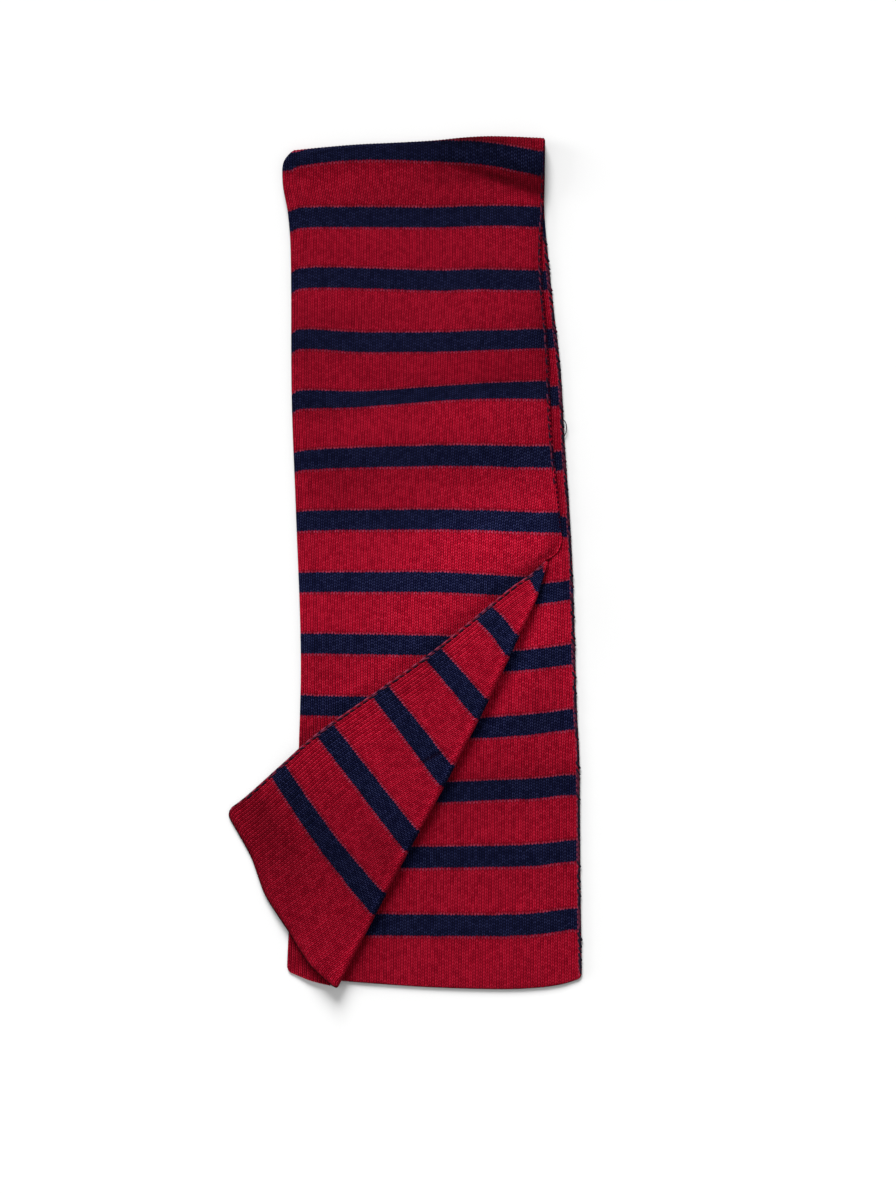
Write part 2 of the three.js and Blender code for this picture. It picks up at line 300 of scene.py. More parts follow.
    def roll_lift(self, across: Array, distance: Array) -> Array:
        """How far the roll at the top fold lifts the front leaf.

        Args:
            across: Places across.
            distance: How far along the strip from the fold each is.

        Returns:
            The lift at each.
        """
        t = np.minimum(1, distance / self.roll_reach(across))
        shape = lerp((1 - t * t) ** 2, 1 - t**4, self.roll_crease(across))
        return self.roll_height(across) * shape

    def roll_start(self, share: Array) -> Array:
        """How far below the top fold's outside its round ends, at shares of the width."""
        across = lerp(self.front_left(0), self.front_right(0), share)
        return (self.layer + self.roll_lift(across, 0)) / 2 + self.half

    def corner_height(self, across: Array, down: Array) -> Array:
        """The height of the turned corner's middle where it has settled.

        Args:
            across: Places across.
            down: Places down.

        Returns:
            The heights there.
        """
        left = self.front_left(down)
        under = self.front_height(np.maximum(across, left), down, self.drop + self.bridge)
        settled = self.over(across - left, self.overhang_drop)
        return self.half + (under - self.half + self.layer) * settled

    def row_down(self, distance: Array, across: Array, hem: TableCurve) -> Array:
        """Where a row of a leaf is, as rows follow the sloping fold at the top and the hem below.

        Args:
            distance: How far along the strip from the fold each is.
            across: Places across.
            hem: How far down the hem is, for each place across.

        Returns:
            How far down each place is.
        """
        near_top = 1 - smoothstep(distance, *self.top_fold_fades)
        hem_from = self.folded_length - self.top_fold_fades[1]
        near_hem = smoothstep(distance, hem_from, self.folded_length)
        to_hem = hem(across) - self.folded_length
        return distance + self.top_fold(across) * near_top + to_hem * near_hem

    def fold_at(self, share: Array) -> FoldPoints:
        """The diagonal fold at shares of its length.

        Args:
            share: Shares of the length, from 0 to 1.

        Returns:
            The fold's edge and the size of its round there.
        """
        tangent = self.fold_line.tangent(share)
        rise = lerp(self.fold_rise_at_top, self.fold_rise, smoothstep(share, 0, self.fold_opens))
        radius = (self.layer + rise) / 2
        inward = np.stack([-tangent[..., 1], tangent[..., 0]], -1)
        return FoldPoints(self.fold_line.at(share), inward, rise, radius, radius + self.half)

    def parting(self) -> TableCurve:
        """Where the front leaf is parted from the turned corner, across for each place down.

        Returns:
            A curve that gives the place across for each place down.
        """
        fold = self.fold_at(np.linspace(0, 1, self.parting_rows))
        at = fold.inside(fold.start + self.fold_lap + self.seam_gap)
        return TableCurve(tuple((float(d), float(a)) for a, d in at))

    def place(self, across: Array, down: Array, height: Array) -> Array:
        """Points of the model, in millimetres, for places on the plan and heights."""
        x, y = across + self.centring[0], self.folded_length / 2 - down + self.centring[1]
        return np.stack(np.broadcast_arrays(x, y, height), -1)


@dataclass(frozen=True)
class StripeChart:
    """Counts courses, from the places of the stripes' middles and their heights."""

    at: tuple[float, ...]
    middles: tuple[tuple[float, ...], ...]
    heights: tuple[tuple[float, ...], ...]
    first: int

    def course(self, side: Array, way: Array) -> Array:
        """Counts the courses to places on the cloth.

        Args:
            side: Where the places are along a course.
            way: Where they are along the strip.

        Returns:
            The course of each, which is a multiple of the repeat in the middle of a stripe.
        """
        knots, counts = [], []
        for k, (middle, height) in enumerate(zip(self.middles, self.heights)):
            centre = TableCurve(tuple(zip(self.at, middle)))(side)
            tall = np.interp(side, np.linspace(self.at[0], self.at[-1], len(height)), height)
            count = (self.first + k) * REPEAT
            knots += [centre - tall / 2, centre + tall / 2]
            counts += [count - STRIPE / 2, count + STRIPE / 2]
        last = len(knots) - 2
        course = np.zeros(np.broadcast(side, way).shape)
        for k in range(last + 1):
            rate = (counts[k + 1] - counts[k]) / (knots[k + 1] - knots[k])
            here = (way >= knots[k]) if k else np.ones_like(course, bool)
            course = np.where(here, counts[k] + (way - knots[k]) * rate, course)
        red = (REPEAT - STRIPE) / (knots[last] - knots[last - 1])
        past = counts[-1] + (way - knots[-1]) * red
        before = counts[0] + (way - knots[0]) * (REPEAT - STRIPE) / (knots[2] - knots[1])
        return np.where(way > knots[-1], past, np.where(way < knots[0], before, course))


@dataclass
class Cloth:
    """A stretch of knit as a grid over its middle, with the count of its stitches.

    Its nap and painted light is how much lighter or darker than plain knit each place is. Some of that
    is how the fibres lie, and some is painted light and shade: soft light and shade kept in the
    colour.
    """

    middle: Array
    half: Array
    wale: Array
    course: Array
    selvedge: Array
    raised: Array
    pulled: Array
    nap_and_painted_light: Array
    rib_depth: float = 0.38
    rim_shade: float = 0.72

    def normals(self) -> Array:
        """The unit directions out of the cloth's shown side.

        Returns:
            A direction for each point of the grid.
        """
        along, sideways = np.gradient(self.middle, axis=0), np.gradient(self.middle, axis=1)
        out = np.cross(along, sideways)
        return out / np.linalg.norm(out, axis=-1, keepdims=True)

    def outer(self) -> Array:
        """The shown side, with its ribs, one to a wale.

        Returns:
            Its points, in millimetres.
        """
        groove = self.rib_depth * np.cos(math.pi * self.wale) ** 2
        full = np.minimum(1, self.half / self.half.max())
        stand = self.half + (self.raised - groove) * full
        return self.middle + self.normals() * stand[..., None]

    def inner(self) -> Array:
        """The hidden side, at every second row and column."""
        return (self.middle - self.normals() * self.half[..., None])[::2, ::2]

    @staticmethod
    def _quads(rows: int, columns: int, start: int, flip: bool) -> Array:
        """The faces of one side.

        Args:
            rows: Rows of points.
            columns: Columns of points.
            start: The number of its first point.
            flip: Whether it faces the other way.

        Returns:
            Four point numbers for each face.
        """
        number = start + np.arange(rows * columns).reshape(rows, columns)
        a, b, c, d = number[:-1, :-1], number[1:, :-1], number[1:, 1:], number[:-1, 1:]
        order = (a, d, c, b) if flip else (a, b, c, d)
        return np.stack([corner.ravel() for corner in order], -1)

    @staticmethod
    def _border(rows: int, columns: int, start: int) -> Array:
        """Numbers of the points round one side, from its first corner down its left edge.

        Args:
            rows: Rows of points.
            columns: Columns of points.
            start: The number of its first point.

        Returns:
            The numbers in order round the side.
        """
        number = start + np.arange(rows * columns).reshape(rows, columns)
        ends = (number[:-1, 0], number[-1, :-1], number[:0:-1, -1], number[0, :0:-1])
        return np.concatenate(ends)

    def track(self, inset: float) -> Array:
        """The line on the shown side at a distance in from the carrying selvedge.

        Args:
            inset: How far in from the selvedge the line is.

        Returns:
            Its points, one to a row, in millimetres.
        """
        outer, lines = self.outer(), []
        for row, place in zip(outer, self.selvedge):
            order = np.argsort(place)
            lines.append([np.interp(inset, place[order], row[order, k]) for k in range(3)])
        return np.array(lines)

    def mesh(self, name: str) -> bpy.types.Mesh:
        """Closes both sides into a thin shell.

        Args:
            name: The mesh's name.

        Returns:
            A mesh in metres, with the stitch counts on its points.
        """
        outer, inner = self.outer(), self.inner()
        rows, columns = outer.shape[:2]
        few = inner.shape[:2]
        faces = self._quads(rows, columns, 0, False).tolist()
        faces += self._quads(*few, rows * columns, True).tolist()
        fine, coarse = self._border(rows, columns, 0), self._border(*few, rows * columns)
        from_, middle, to = fine[::2], fine[1::2], np.roll(fine, -2)[::2]
        near, far = coarse, np.roll(coarse, -1)
        for corners in ((middle, from_, near), (middle, near, far), (to, middle, far)):
            faces += np.stack(corners, -1).tolist()
        points = np.concatenate([outer.reshape(-1, 3), inner.reshape(-1, 3)]) * MM
        mesh = bpy.data.meshes.new(name)
        mesh.from_pydata(points.tolist(), [], faces)
        mesh.polygons.foreach_set("use_smooth", np.ones(len(mesh.polygons), bool))
        counts = np.stack([self.wale, self.course, self.selvedge], -1)
        counts = np.concatenate([counts.reshape(-1, 3), counts[::2, ::2].reshape(-1, 3)])
        stitch = mesh.attributes.new("stitch", "FLOAT_VECTOR", "POINT")
        stitch.data.foreach_set("vector", counts.astype(np.float32).ravel())
        # Painted shade along every rounded rim, added to the nap and painted light.
        nap_and_painted_light = self.nap_and_painted_light - self.rim_shade * (1 - np.minimum(1, self.half / self.half.max()))
        for own_name, own in (("pulled", self.pulled), ("nap_and_painted_light", nap_and_painted_light)):
            own = np.concatenate([own.ravel(), own[::2, ::2].ravel()]).astype(np.float32)
            mesh.attributes.new(own_name, "FLOAT", "POINT").data.foreach_set("value", own)
        mesh.update()
        return mesh


def fine_steps(length: float, step: float, rim_start: bool, rim_end: bool) -> Array:
    """An odd number of distances along a length, closer together at a rounded edge.

    Args:
        length: The whole length.
        step: About how far apart they are.
        rim_start: Whether the start is a rounded edge.
        rim_end: Whether the end is one.

    Returns:
        The distances, from 0 to length.
    """
    count = round(length / step)
    rim = [d for d in RIM_STEPS if d < step / 2]
    extra = [d for d in rim if rim_start] + [length - d for d in rim if rim_end]
    count += (count + len(extra)) % 2
    return np.sort(np.concatenate([np.linspace(0, length, count + 1), extra]))


class Value:
    """A number that changes over a surface, with the usual arithmetic on it."""

    def __init__(self, nodes: "Nodes", socket: bpy.types.NodeSocket) -> None:
        """Wraps a node's output."""
        self.nodes, self.socket = nodes, socket

    def _math(self, operation: str, *values: "Value | float") -> "Value":
        """Adds a Math node."""
        node = self.nodes.add("ShaderNodeMath", {"operation": operation}, dict(enumerate(values)))
        return Value(self.nodes, node.outputs[0])

    def __add__(self, other: "Value | float") -> "Value":
        """Sum."""
        return self._math("ADD", self, other)

    def __radd__(self, other: float) -> "Value":
        """Sum, with a number first."""
        return self._math("ADD", other, self)

    def __sub__(self, other: "Value | float") -> "Value":
        """Difference."""
        return self._math("SUBTRACT", self, other)

    def __rsub__(self, other: float) -> "Value":
        """Difference, with a number first."""
        return self._math("SUBTRACT", other, self)

    def __mul__(self, other: "Value | float") -> "Value":
        """Product."""
        return self._math("MULTIPLY", self, other)

    def __rmul__(self, other: float) -> "Value":
        """Product, with a number first."""
        return self._math("MULTIPLY", other, self)

    def __truediv__(self, other: "Value | float") -> "Value":
        """Quotient."""
        return self._math("DIVIDE", self, other)

    def __lt__(self, other: "Value | float") -> "Value":
        """1 where it is the smaller, and 0 elsewhere."""
        return self._math("LESS_THAN", self, other)

    def __gt__(self, other: "Value | float") -> "Value":
        """1 where it is the larger, and 0 elsewhere."""
        return self._math("GREATER_THAN", self, other)

    def __abs__(self) -> "Value":
        """Its size without its sign."""
        return self._math("ABSOLUTE", self)

    def floor(self) -> "Value":
        """The whole number below it."""
        return self._math("FLOOR", self)

    def fract(self) -> "Value":
        """What is past that whole number."""
        return self._math("FRACT", self)

    def sine(self) -> "Value":
        """Its sine."""
        return self._math("SINE", self)

    def kept(self) -> "Value":
        """It, kept between 0 and 1."""
        return self._math("MINIMUM", self._math("MAXIMUM", self, 0.0), 1.0)


class Nodes:
    """Adds nodes to a tree, with their settings first and then their sockets' values or links."""

    def __init__(self, tree: bpy.types.NodeTree) -> None:
        """Wraps a shader or geometry tree."""
        self.tree = tree

    def add(
        self, kind: str, settings: dict | None = None, sockets: dict | None = None
    ) -> bpy.types.Node:
        """Adds one node.

        Args:
            kind: The node's type.
            settings: Its own settings, by name.
            sockets: A value, socket or Value for its inputs, by name, identifier or number.

        Returns:
            The node.
        """
        node = self.tree.nodes.new(kind)
        for name, value in (settings or {}).items():
            setattr(node, name, value)
        for key, value in (sockets or {}).items():
            found = node.inputs[key] if isinstance(key, int) else self._input(node, key)
            if isinstance(value, Value):
                value = value.socket
            if isinstance(value, bpy.types.NodeSocket):
                self.tree.links.new(value, found)
            else:
                found.default_value = value
        return node

    @staticmethod
    def _input(node: bpy.types.Node, key: str) -> bpy.types.NodeSocket:
        """The input of that identifier, or else of that name among those in use."""
        same = [s for s in node.inputs if s.identifier == key and s.enabled]
        return same[0] if same else next(s for s in node.inputs if s.name == key and s.enabled)

    def noise(self, scale: float, detail: float, part: int) -> Value:
        """Smooth noise on Object coordinates.

        Args:
            scale: How many swells there are in a metre.
            detail: How many finer layers it has.
            part: Which of its three separate channels is read.

        Returns:
            A number of about 0.3 to 0.7, with 0.5 in the middle.
        """
        place = self.add("ShaderNodeTexCoord").outputs["Object"]
        sockets = {"Vector": place, "Scale": scale, "Detail": detail}
        noise = self.add("ShaderNodeTexNoise", {"noise_dimensions": "3D"}, sockets)
        split = self.add("ShaderNodeSeparateColor", None, {"Color": noise.outputs["Color"]})
        return Value(self, split.outputs[part])

    def attribute(self, name: str) -> Value:
        """A number kept on the mesh's points."""
        return Value(self, self.add("ShaderNodeAttribute", {"attribute_name": name}).outputs["Fac"])

    def chance(self, low: Value | float, high: Value | float, seed: object) -> Value:
        """A number between two, drawn for each point.

        Args:
            low: The least that it can be.
            high: The most that it can be.
            seed: The number that the draw starts from.

        Returns:
            The number.
        """
        sockets = {"Min_001": low, "Max_001": high, "Seed": seed}
        drawn = self.add("FunctionNodeRandomValue", {"data_type": "FLOAT"}, sockets)
        return Value(self, drawn.outputs[1])

    def aligned(self, pivot: str, sockets: dict) -> bpy.types.NodeSocket:
        """The rotation that brings X round to a vector, about one axis only."""
        settings = {"axis": "X", "pivot_axis": pivot}
        return self.add("FunctionNodeAlignRotationToVector", settings, sockets).outputs[0]

    def mix(self, share: Value | float, first: object, second: object) -> bpy.types.NodeSocket:
        """A colour between two, at a share of the way.

        Args:
            share: How far from the first to the second it is.
            first: The first colour.
            second: The second colour.

        Returns:
            The mixed colour's socket.
        """
        sockets = {"Factor_Float": share, "A_Color": first, "B_Color": second}
        node = self.add("ShaderNodeMix", {"data_type": "RGBA"}, sockets)
        return next(s for s in node.outputs if s.type == "RGBA")


def linear(red: int, green: int, blue: int) -> tuple[float, float, float, float]:
    """A colour given as 0 to 255 on a screen, as the shader takes it."""
    parts = [c / 255 for c in (red, green, blue)]
    return (*[c / 12.92 if c <= 0.04045 else ((c + 0.055) / 1.055) ** 2.4 for c in parts], 1.0)


def new_material(name: str) -> tuple[bpy.types.Material, Nodes]:
    """An empty material and its tree.

    Args:
        name: The material's name.

    Returns:
        The material, and what adds nodes to its tree.
    """
    material = bpy.data.materials.new(name)
    material.use_nodes = True
    material.node_tree.nodes.clear()
    return material, Nodes(material.node_tree)


@dataclass(frozen=True)
class SurfaceShine:
    """What is the same all over a yarn's surface."""

    specular: float = 0.01
    sheen: float = 0.006
    sheen_roughness: float = 0.5
    sheen_tint: tuple[float, float, float, float] = (0.6, 0.6, 0.7, 1.0)

    def finish(self, nodes: Nodes, color: object, roughness: Value, normal: object) -> None:
        """Adds the shader and the output.

        Args:
            nodes: The material's nodes.
            color: The base colour's socket.
            roughness: How rough it is.
            normal: The bumped normal's socket.
        """
        sockets = {
            "Base Color": color,
            "Roughness": roughness,
            "Normal": normal,
            "Specular IOR Level": self.specular,
            "Sheen Weight": self.sheen,
            "Sheen Roughness": self.sheen_roughness,
            "Sheen Tint": self.sheen_tint,
        }
        shader = nodes.add("ShaderNodeBsdfPrincipled", None, sockets)
        nodes.add("ShaderNodeOutputMaterial", None, {"Surface": shader.outputs[0]})


@dataclass(frozen=True)
class EdgeLine:
    """A line along a selvedge, of edge stitches or of painted shade: how far in, how strong and how
    closely beaded it is.
    """

    inset: float
    width: float
    share: float
    color: tuple[int, int, int]
    beads: float = 1.2


@dataclass(frozen=True)
class StripedKnit:
    """Double-faced knit: V stitches counted by wale and course, in crimson with navy stripes."""

    stripes: int = 13
    lean: float = 0.9
    wobble: tuple[float, float] = (0.3, 0.6)
    edge_teeth: float = 0.45
    bump: float = 0.55
    base_tone: float = 0.6
    # Painted shade in the stitches' gaps and painted light on their crests, by the stitch relief.
    relief_painted_shade: float = 1.3
    stitch_tone: float = 0.42
    fibre_tone: float = 0.3
    wale_tone: float = 0.14
    patch_tone: float = 0.08
    # Painted shade in the furrows between wales.
    furrow_painted_shade: float = 0.45
    fringe: float = 0.38
    fringe_reach: float = 1.0
    tick_reach: float = 0.7
    # How strongly the pulled column's painted groove shade shows over crimson and over navy.
    groove_shade_over_red: float = 0.3
    groove_shade_over_navy: float = 0.6
    crimson_dark: tuple[int, int, int] = (36, 0, 4)
    crimson_light: tuple[int, int, int] = (115, 0, 18)
    crimson_glint: tuple[int, int, int] = (150, 34, 54)
    navy_dark: tuple[int, int, int] = (0, 0, 4)
    navy_light: tuple[int, int, int] = (2, 3, 25)
    navy_glint: tuple[int, int, int] = (40, 44, 72)
    glint_from: float = 0.58
    tick: tuple[int, int, int] = (122, 44, 64)
    # Painted shade in the pulled column's groove.
    pulled: tuple[int, int, int] = (6, 0, 5)
    shine: SurfaceShine = SurfaceShine()

    def material(self, line: EdgeLine) -> bpy.types.Material:
        """Makes the knit's material.

        Args:
            line: The line of stitches that shows along the selvedge.

        Returns:
            The material, which reads the cloth's stitch counts.
        """
        material, nodes = new_material("striped_knit")
        counts = nodes.add("ShaderNodeAttribute", {"attribute_name": "stitch"}).outputs["Vector"]
        split = nodes.add("ShaderNodeSeparateXYZ", None, {"Vector": counts})
        wale, course, selvedge = (Value(nodes, s) for s in split.outputs)
        wale = wale + self.wobble[0] * (nodes.noise(90, 2, 0) - 0.5)
        course = course + self.wobble[1] * (nodes.noise(90, 2, 1) - 0.5)
        side = abs(wale.fract() - 0.5) * 2.0
        leaned = course + (wale.floor() * 0.5).fract() - self.lean * (side - 0.5)
        stitch, turn = leaned.floor(), leaned.fract()
        leg = 1.0 - (2.0 * side - 1.0) * (2.0 * side - 1.0)
        loop = (turn * math.pi).sine()
        height = leg * (0.3 + 0.7 * loop)
        seat = nodes.add("ShaderNodeCombineXYZ", None, {"X": wale.floor(), "Y": stitch})
        grain = nodes.add("ShaderNodeTexWhiteNoise", None, {"Vector": seat.outputs[0]})
        chance = Value(nodes, grain.outputs["Value"])
        column = {"noise_dimensions": "1D"}
        column = nodes.add("ShaderNodeTexWhiteNoise", column, {"W": wale.floor()}).outputs["Value"]
        fibre = nodes.noise(1400, 3, 2)
        patch = nodes.noise(22, 3, 0)
        # Tone: painted shade in the gaps and painted light on the loops by their relief, random tone
        # by stitch, fibre, wale and patch, and painted shade in the furrows.
        tone = self.base_tone + self.relief_painted_shade * (height - 0.4)
        tone = tone + self.stitch_tone * (chance - 0.5) + self.fibre_tone * (fibre - 0.5)
        tone = tone - self.furrow_painted_shade * (side * side * side * side - 0.2)
        tone = tone + self.wale_tone * (Value(nodes, column) - 0.5)
        tone = (tone + self.patch_tone * (patch - 0.5)).kept()
        glint = (height - self.glint_from) * (1.0 / (1.0 - self.glint_from)) * (0.3 + 0.65 * chance)
        glint = glint.kept()
        crimson = nodes.mix(tone, linear(*self.crimson_dark), linear(*self.crimson_light))
        crimson = nodes.mix(glint, crimson, linear(*self.crimson_glint))
        navy = nodes.mix(tone, linear(*self.navy_dark), linear(*self.navy_light))
        navy = nodes.mix(glint, navy, linear(*self.navy_glint))
        toothed = course - self.edge_teeth * (side - 0.5)
        above = self._within(toothed, STRIPE / 2 + self.tick_reach, self.tick_reach)
        below = self._within(toothed, -STRIPE / 2, self.tick_reach)
        knitted = course < REPEAT * self.stripes + STRIPE
        reach = self.fringe_reach
        fringed = knitted * self._within(toothed, STRIPE / 2 + reach, STRIPE + 2 * reach)
        crimson = nodes.mix(fringed * self.fringe, crimson, linear(*self.crimson_dark))
        crossing = knitted * (above + below) * (side > 0.45) * (0.1 + 0.6 * chance)
        crimson = nodes.mix(crossing, crimson, linear(*self.tick))
        in_stripe = self._within(toothed, STRIPE / 2, STRIPE) * knitted
        color = nodes.mix(in_stripe, crimson, navy)
        # Scales the colour by the nap attribute, which holds painted light and shade as well as the
        # fibres' lie.
        sockets = {"Vector": color, "Scale": 1.0 + nodes.attribute("nap_and_painted_light")}
        color = nodes.add("ShaderNodeVectorMath", {"operation": "SCALE"}, sockets).outputs[0]
        chain = abs(selvedge - line.inset) < line.width / 2
        chain = chain * (line.share + 0.9 * line.share * (course * (line.beads * math.pi)).sine())
        color = nodes.mix(chain.kept(), color, linear(*line.color))
        # Darkens the pulled column's groove with painted shade.
        pulled = nodes.attribute("pulled") * (self.groove_shade_over_red + self.groove_shade_over_navy * in_stripe)
        color = nodes.mix(pulled, color, linear(*self.pulled))
        relief = height + 0.25 * (fibre - 0.5) + 0.12 * chance
        sockets = {"Height": relief, "Distance": self.bump * MM, "Strength": 1.0}
        normal = nodes.add("ShaderNodeBump", None, sockets).outputs[0]
        self.shine.finish(nodes, color, 0.72 + 0.3 * fibre, normal)
        return material

    @staticmethod
    def _within(course: Value, before: float, courses: float) -> Value:
        """1 in a band of courses that starts so many before each stripe's middle, and 0 elsewhere."""
        return ((course + before) / REPEAT).fract() < courses / REPEAT


@dataclass(frozen=True)
class PlainYarn:
    """A loose length of the scarf's yarn, twisted and slightly hairy."""

    name: str
    dark: tuple[int, int, int]
    light: tuple[int, int, int]
    bump: float = 0.25
    shine: SurfaceShine = SurfaceShine(specular=0.04, sheen=0.03)

    def material(self) -> bpy.types.Material:
        """Makes the yarn's material.

        Returns:
            The material.
        """
        material, nodes = new_material(self.name)
        strands, fibre = nodes.noise(900, 2, 0), nodes.noise(2600, 2, 1)
        tone = (0.5 + 1.6 * (strands - 0.5) + 0.8 * (fibre - 0.5)).kept()
        color = nodes.mix(tone, linear(*self.dark), linear(*self.light))
        sockets = {"Height": strands + 0.5 * fibre, "Distance": self.bump * MM, "Strength": 0.8}
        normal = nodes.add("ShaderNodeBump", None, sockets).outputs[0]
        self.shine.finish(nodes, color, 0.7 + 0.3 * fibre, normal)
        return material


@dataclass(frozen=True)
class PaleFloor:
    """The plain white surface that the scarf lies on."""

    white: float = 0.476
    mottle: float = 0.01

    def material(self) -> bpy.types.Material:
        """Makes the floor's material.

        Returns:
            The material.
        """
        material, nodes = new_material("pale_floor")
        shade = nodes.noise(3, 2, 0) * self.mottle + (self.white - self.mottle / 2)
        grey = nodes.add("ShaderNodeCombineColor", None, {0: shade, 1: shade, 2: shade})
        sockets = {"Base Color": grey.outputs[0], "Roughness": 0.9, "Specular IOR Level": 0.0}
        shader = nodes.add("ShaderNodeBsdfPrincipled", None, sockets)
        nodes.add("ShaderNodeOutputMaterial", None, {"Surface": shader.outputs[0]})
        return material


def put(name: str, data: bpy.types.ID) -> bpy.types.Object:
    """Puts an object with this data in the scene.

    Args:
        name: The object's name.
        data: Its mesh, curve, light or camera.

    Returns:
        The object.
    """
    placed = bpy.data.objects.new(name, data)
    bpy.context.scene.collection.objects.link(placed)
    return placed


def as_mesh(holder: bpy.types.Object) -> bpy.types.Mesh:
    """Takes an object's finished shape as a plain mesh, and removes the object.

    Args:
        holder: The object, with its modifiers.

    Returns:
        The mesh.
    """
    seen = holder.evaluated_get(bpy.context.evaluated_depsgraph_get())
    mesh = bpy.data.meshes.new_from_object(seen)
    bpy.data.objects.remove(holder)
    return mesh


def dress(mesh: bpy.types.Mesh, name: str, material: bpy.types.Material) -> bpy.types.Object:
    """Puts a mesh in the scene with its material, riding on the part's body.

    Args:
        mesh: The finished mesh, in its place.
        name: The piece's name.
        material: Its finish.

    Returns:
        The object.
    """
    mesh.materials.clear()
    mesh.materials.append(material)
    piece = put(name, mesh)
    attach(piece, "root")
    return piece


class Stretch(Enum):
    """The stretches of a selvedge that a yarn floats over while the other one is knitted."""

    BETWEEN_STRIPES = "navy_floats"
    OVER_STRIPES = "crimson_floats"


@dataclass(frozen=True)
class YarnRow:
    """Short floats of yarn repeated along a path, made by Geometry Nodes. Sizes are in metres."""

    SIDES: ClassVar[int] = 6
    BENDS: ClassVar[int] = 7
    SIZES: ClassVar[tuple[float, float]] = (0.8, 1.15)
    SINK: ClassVar[float] = -0.35

    spacing: float
    length: float
    thickness: float
    arch: float
    slant: float
    wander: float
    seed: int

    def _float(self, nodes: Nodes, sizes: dict[str, bpy.types.NodeSocket]) -> bpy.types.NodeSocket:
        """Adds one float, arched from end to end.

        Args:
            nodes: The tree's nodes.
            sizes: The tree's inputs, by name.

        Returns:
            The curve's socket.
        """
        half = Value(nodes, sizes["Length"]) * 0.5
        sink = Value(nodes, sizes["Thickness"]) * self.SINK
        rise = Value(nodes, sizes["Arch"]) * 2.0
        ends = ({"X": -1.0 * half, "Z": sink}, {"Z": rise}, {"X": half, "Z": sink})
        points = [nodes.add("ShaderNodeCombineXYZ", None, end).outputs[0] for end in ends]
        sockets = dict(zip(("Start", "Middle", "End"), points), Resolution=self.BENDS)
        return nodes.add("GeometryNodeCurveQuadraticBezier", None, sockets).outputs[0]

    def _tree(self) -> bpy.types.NodeTree:
        """Builds the tree: a path in, and the yarn as real mesh out.

        Returns:
            The tree, whose inputs are the row's sizes.
        """
        tree = bpy.data.node_groups.new("yarn_float_row", "GeometryNodeTree")
        new = tree.interface.new_socket
        new("Path", in_out="INPUT", socket_type="NodeSocketGeometry")
        for name in ("Spacing", "Length", "Thickness", "Arch", "Slant", "Wander"):
            new(name, in_out="INPUT", socket_type="NodeSocketFloat")
        new("Seed", in_out="INPUT", socket_type="NodeSocketInt")
        new("Yarn", in_out="INPUT", socket_type="NodeSocketMaterial")
        new("Rows", in_out="OUTPUT", socket_type="NodeSocketGeometry")
        nodes = Nodes(tree)
        sizes = {s.name: s for s in nodes.add("NodeGroupInput").outputs}
        line = nodes.add("GeometryNodeMeshToCurve", None, {"Mesh": sizes["Path"]}).outputs[0]
        sockets = {"Curve": line, "Length": sizes["Spacing"]}
        spaced = nodes.add("GeometryNodeResampleCurve", {"mode": "LENGTH"}, sockets).outputs[0]
        tangent = nodes.add("GeometryNodeInputTangent").outputs[0]
        turned = nodes.aligned("Z", {"Vector": tangent})
        tipped = nodes.aligned("Y", {"Rotation": turned, "Vector": tangent})
        wander = Value(nodes, sizes["Wander"])
        slant = Value(nodes, sizes["Slant"]) + nodes.chance(-1.0 * wander, wander, sizes["Seed"])
        euler = nodes.add("ShaderNodeCombineXYZ", None, {"Z": slant}).outputs[0]
        turn = nodes.add("FunctionNodeEulerToRotation", None, {0: euler}).outputs[0]
        sockets = {"Rotation": tipped, "Rotate By": turn}
        local = {"rotation_space": "LOCAL"}
        slanted = nodes.add("FunctionNodeRotateRotation", local, sockets).outputs[0]
        radius = Value(nodes, sizes["Thickness"]) * 0.5
        sockets = {"Resolution": self.SIDES, "Radius": radius}
        ring = nodes.add("GeometryNodeCurvePrimitiveCircle", None, sockets).outputs[0]
        sockets = {"Curve": self._float(nodes, sizes), "Profile Curve": ring, "Fill Caps": True}
        tube = nodes.add("GeometryNodeCurveToMesh", None, sockets).outputs[0]
        size = nodes.chance(*self.SIZES, Value(nodes, sizes["Seed"]) + 1)
        sockets = {"Points": spaced, "Instance": tube, "Rotation": slanted, "Scale": size}
        placed = nodes.add("GeometryNodeInstanceOnPoints", None, sockets).outputs[0]
        smooth = nodes.add("GeometryNodeSetShadeSmooth", None, {0: placed}).outputs[0]
        real = nodes.add("GeometryNodeRealizeInstances", None, {0: smooth}).outputs[0]
        sockets = {"Geometry": real, "Material": sizes["Yarn"]}
        dressed = nodes.add("GeometryNodeSetMaterial", None, sockets).outputs[0]
        nodes.add("NodeGroupOutput", None, {0: dressed})
        return tree

    def build(self, name: str, lines: list[Array], yarn: bpy.types.Material) -> bpy.types.Object:
        """Lays the yarn along lines.

        Args:
            name: The piece's name.
            lines: Points of each line, in metres.
            yarn: The yarn's material.

        Returns:
            The piece, a plain mesh.
        """
        path = bpy.data.meshes.new(f"{name}_path")
        starts = np.cumsum([0] + [len(line) for line in lines])
        edges = [(s + k, s + k + 1) for s, line in zip(starts, lines) for k in range(len(line) - 1)]
        path.from_pydata(np.concatenate(lines).tolist(), edges, [])
        holder = put(f"{name}_path", path)
        rows = holder.modifiers.new("rows", "NODES")
        rows.node_group = self._tree()
        values = {
            "Spacing": self.spacing,
            "Length": self.length,
            "Thickness": self.thickness,
            "Arch": self.arch,
            "Slant": math.radians(self.slant),
            "Wander": math.radians(self.wander),
            "Seed": self.seed,
            "Yarn": yarn,
        }
        for item in rows.node_group.interface.items_tree:
            if item.in_out == "INPUT" and item.name in values:
                rows[item.identifier] = values[item.name]
        mesh = as_mesh(holder)
        mesh.name = name
        return dress(mesh, name, yarn)


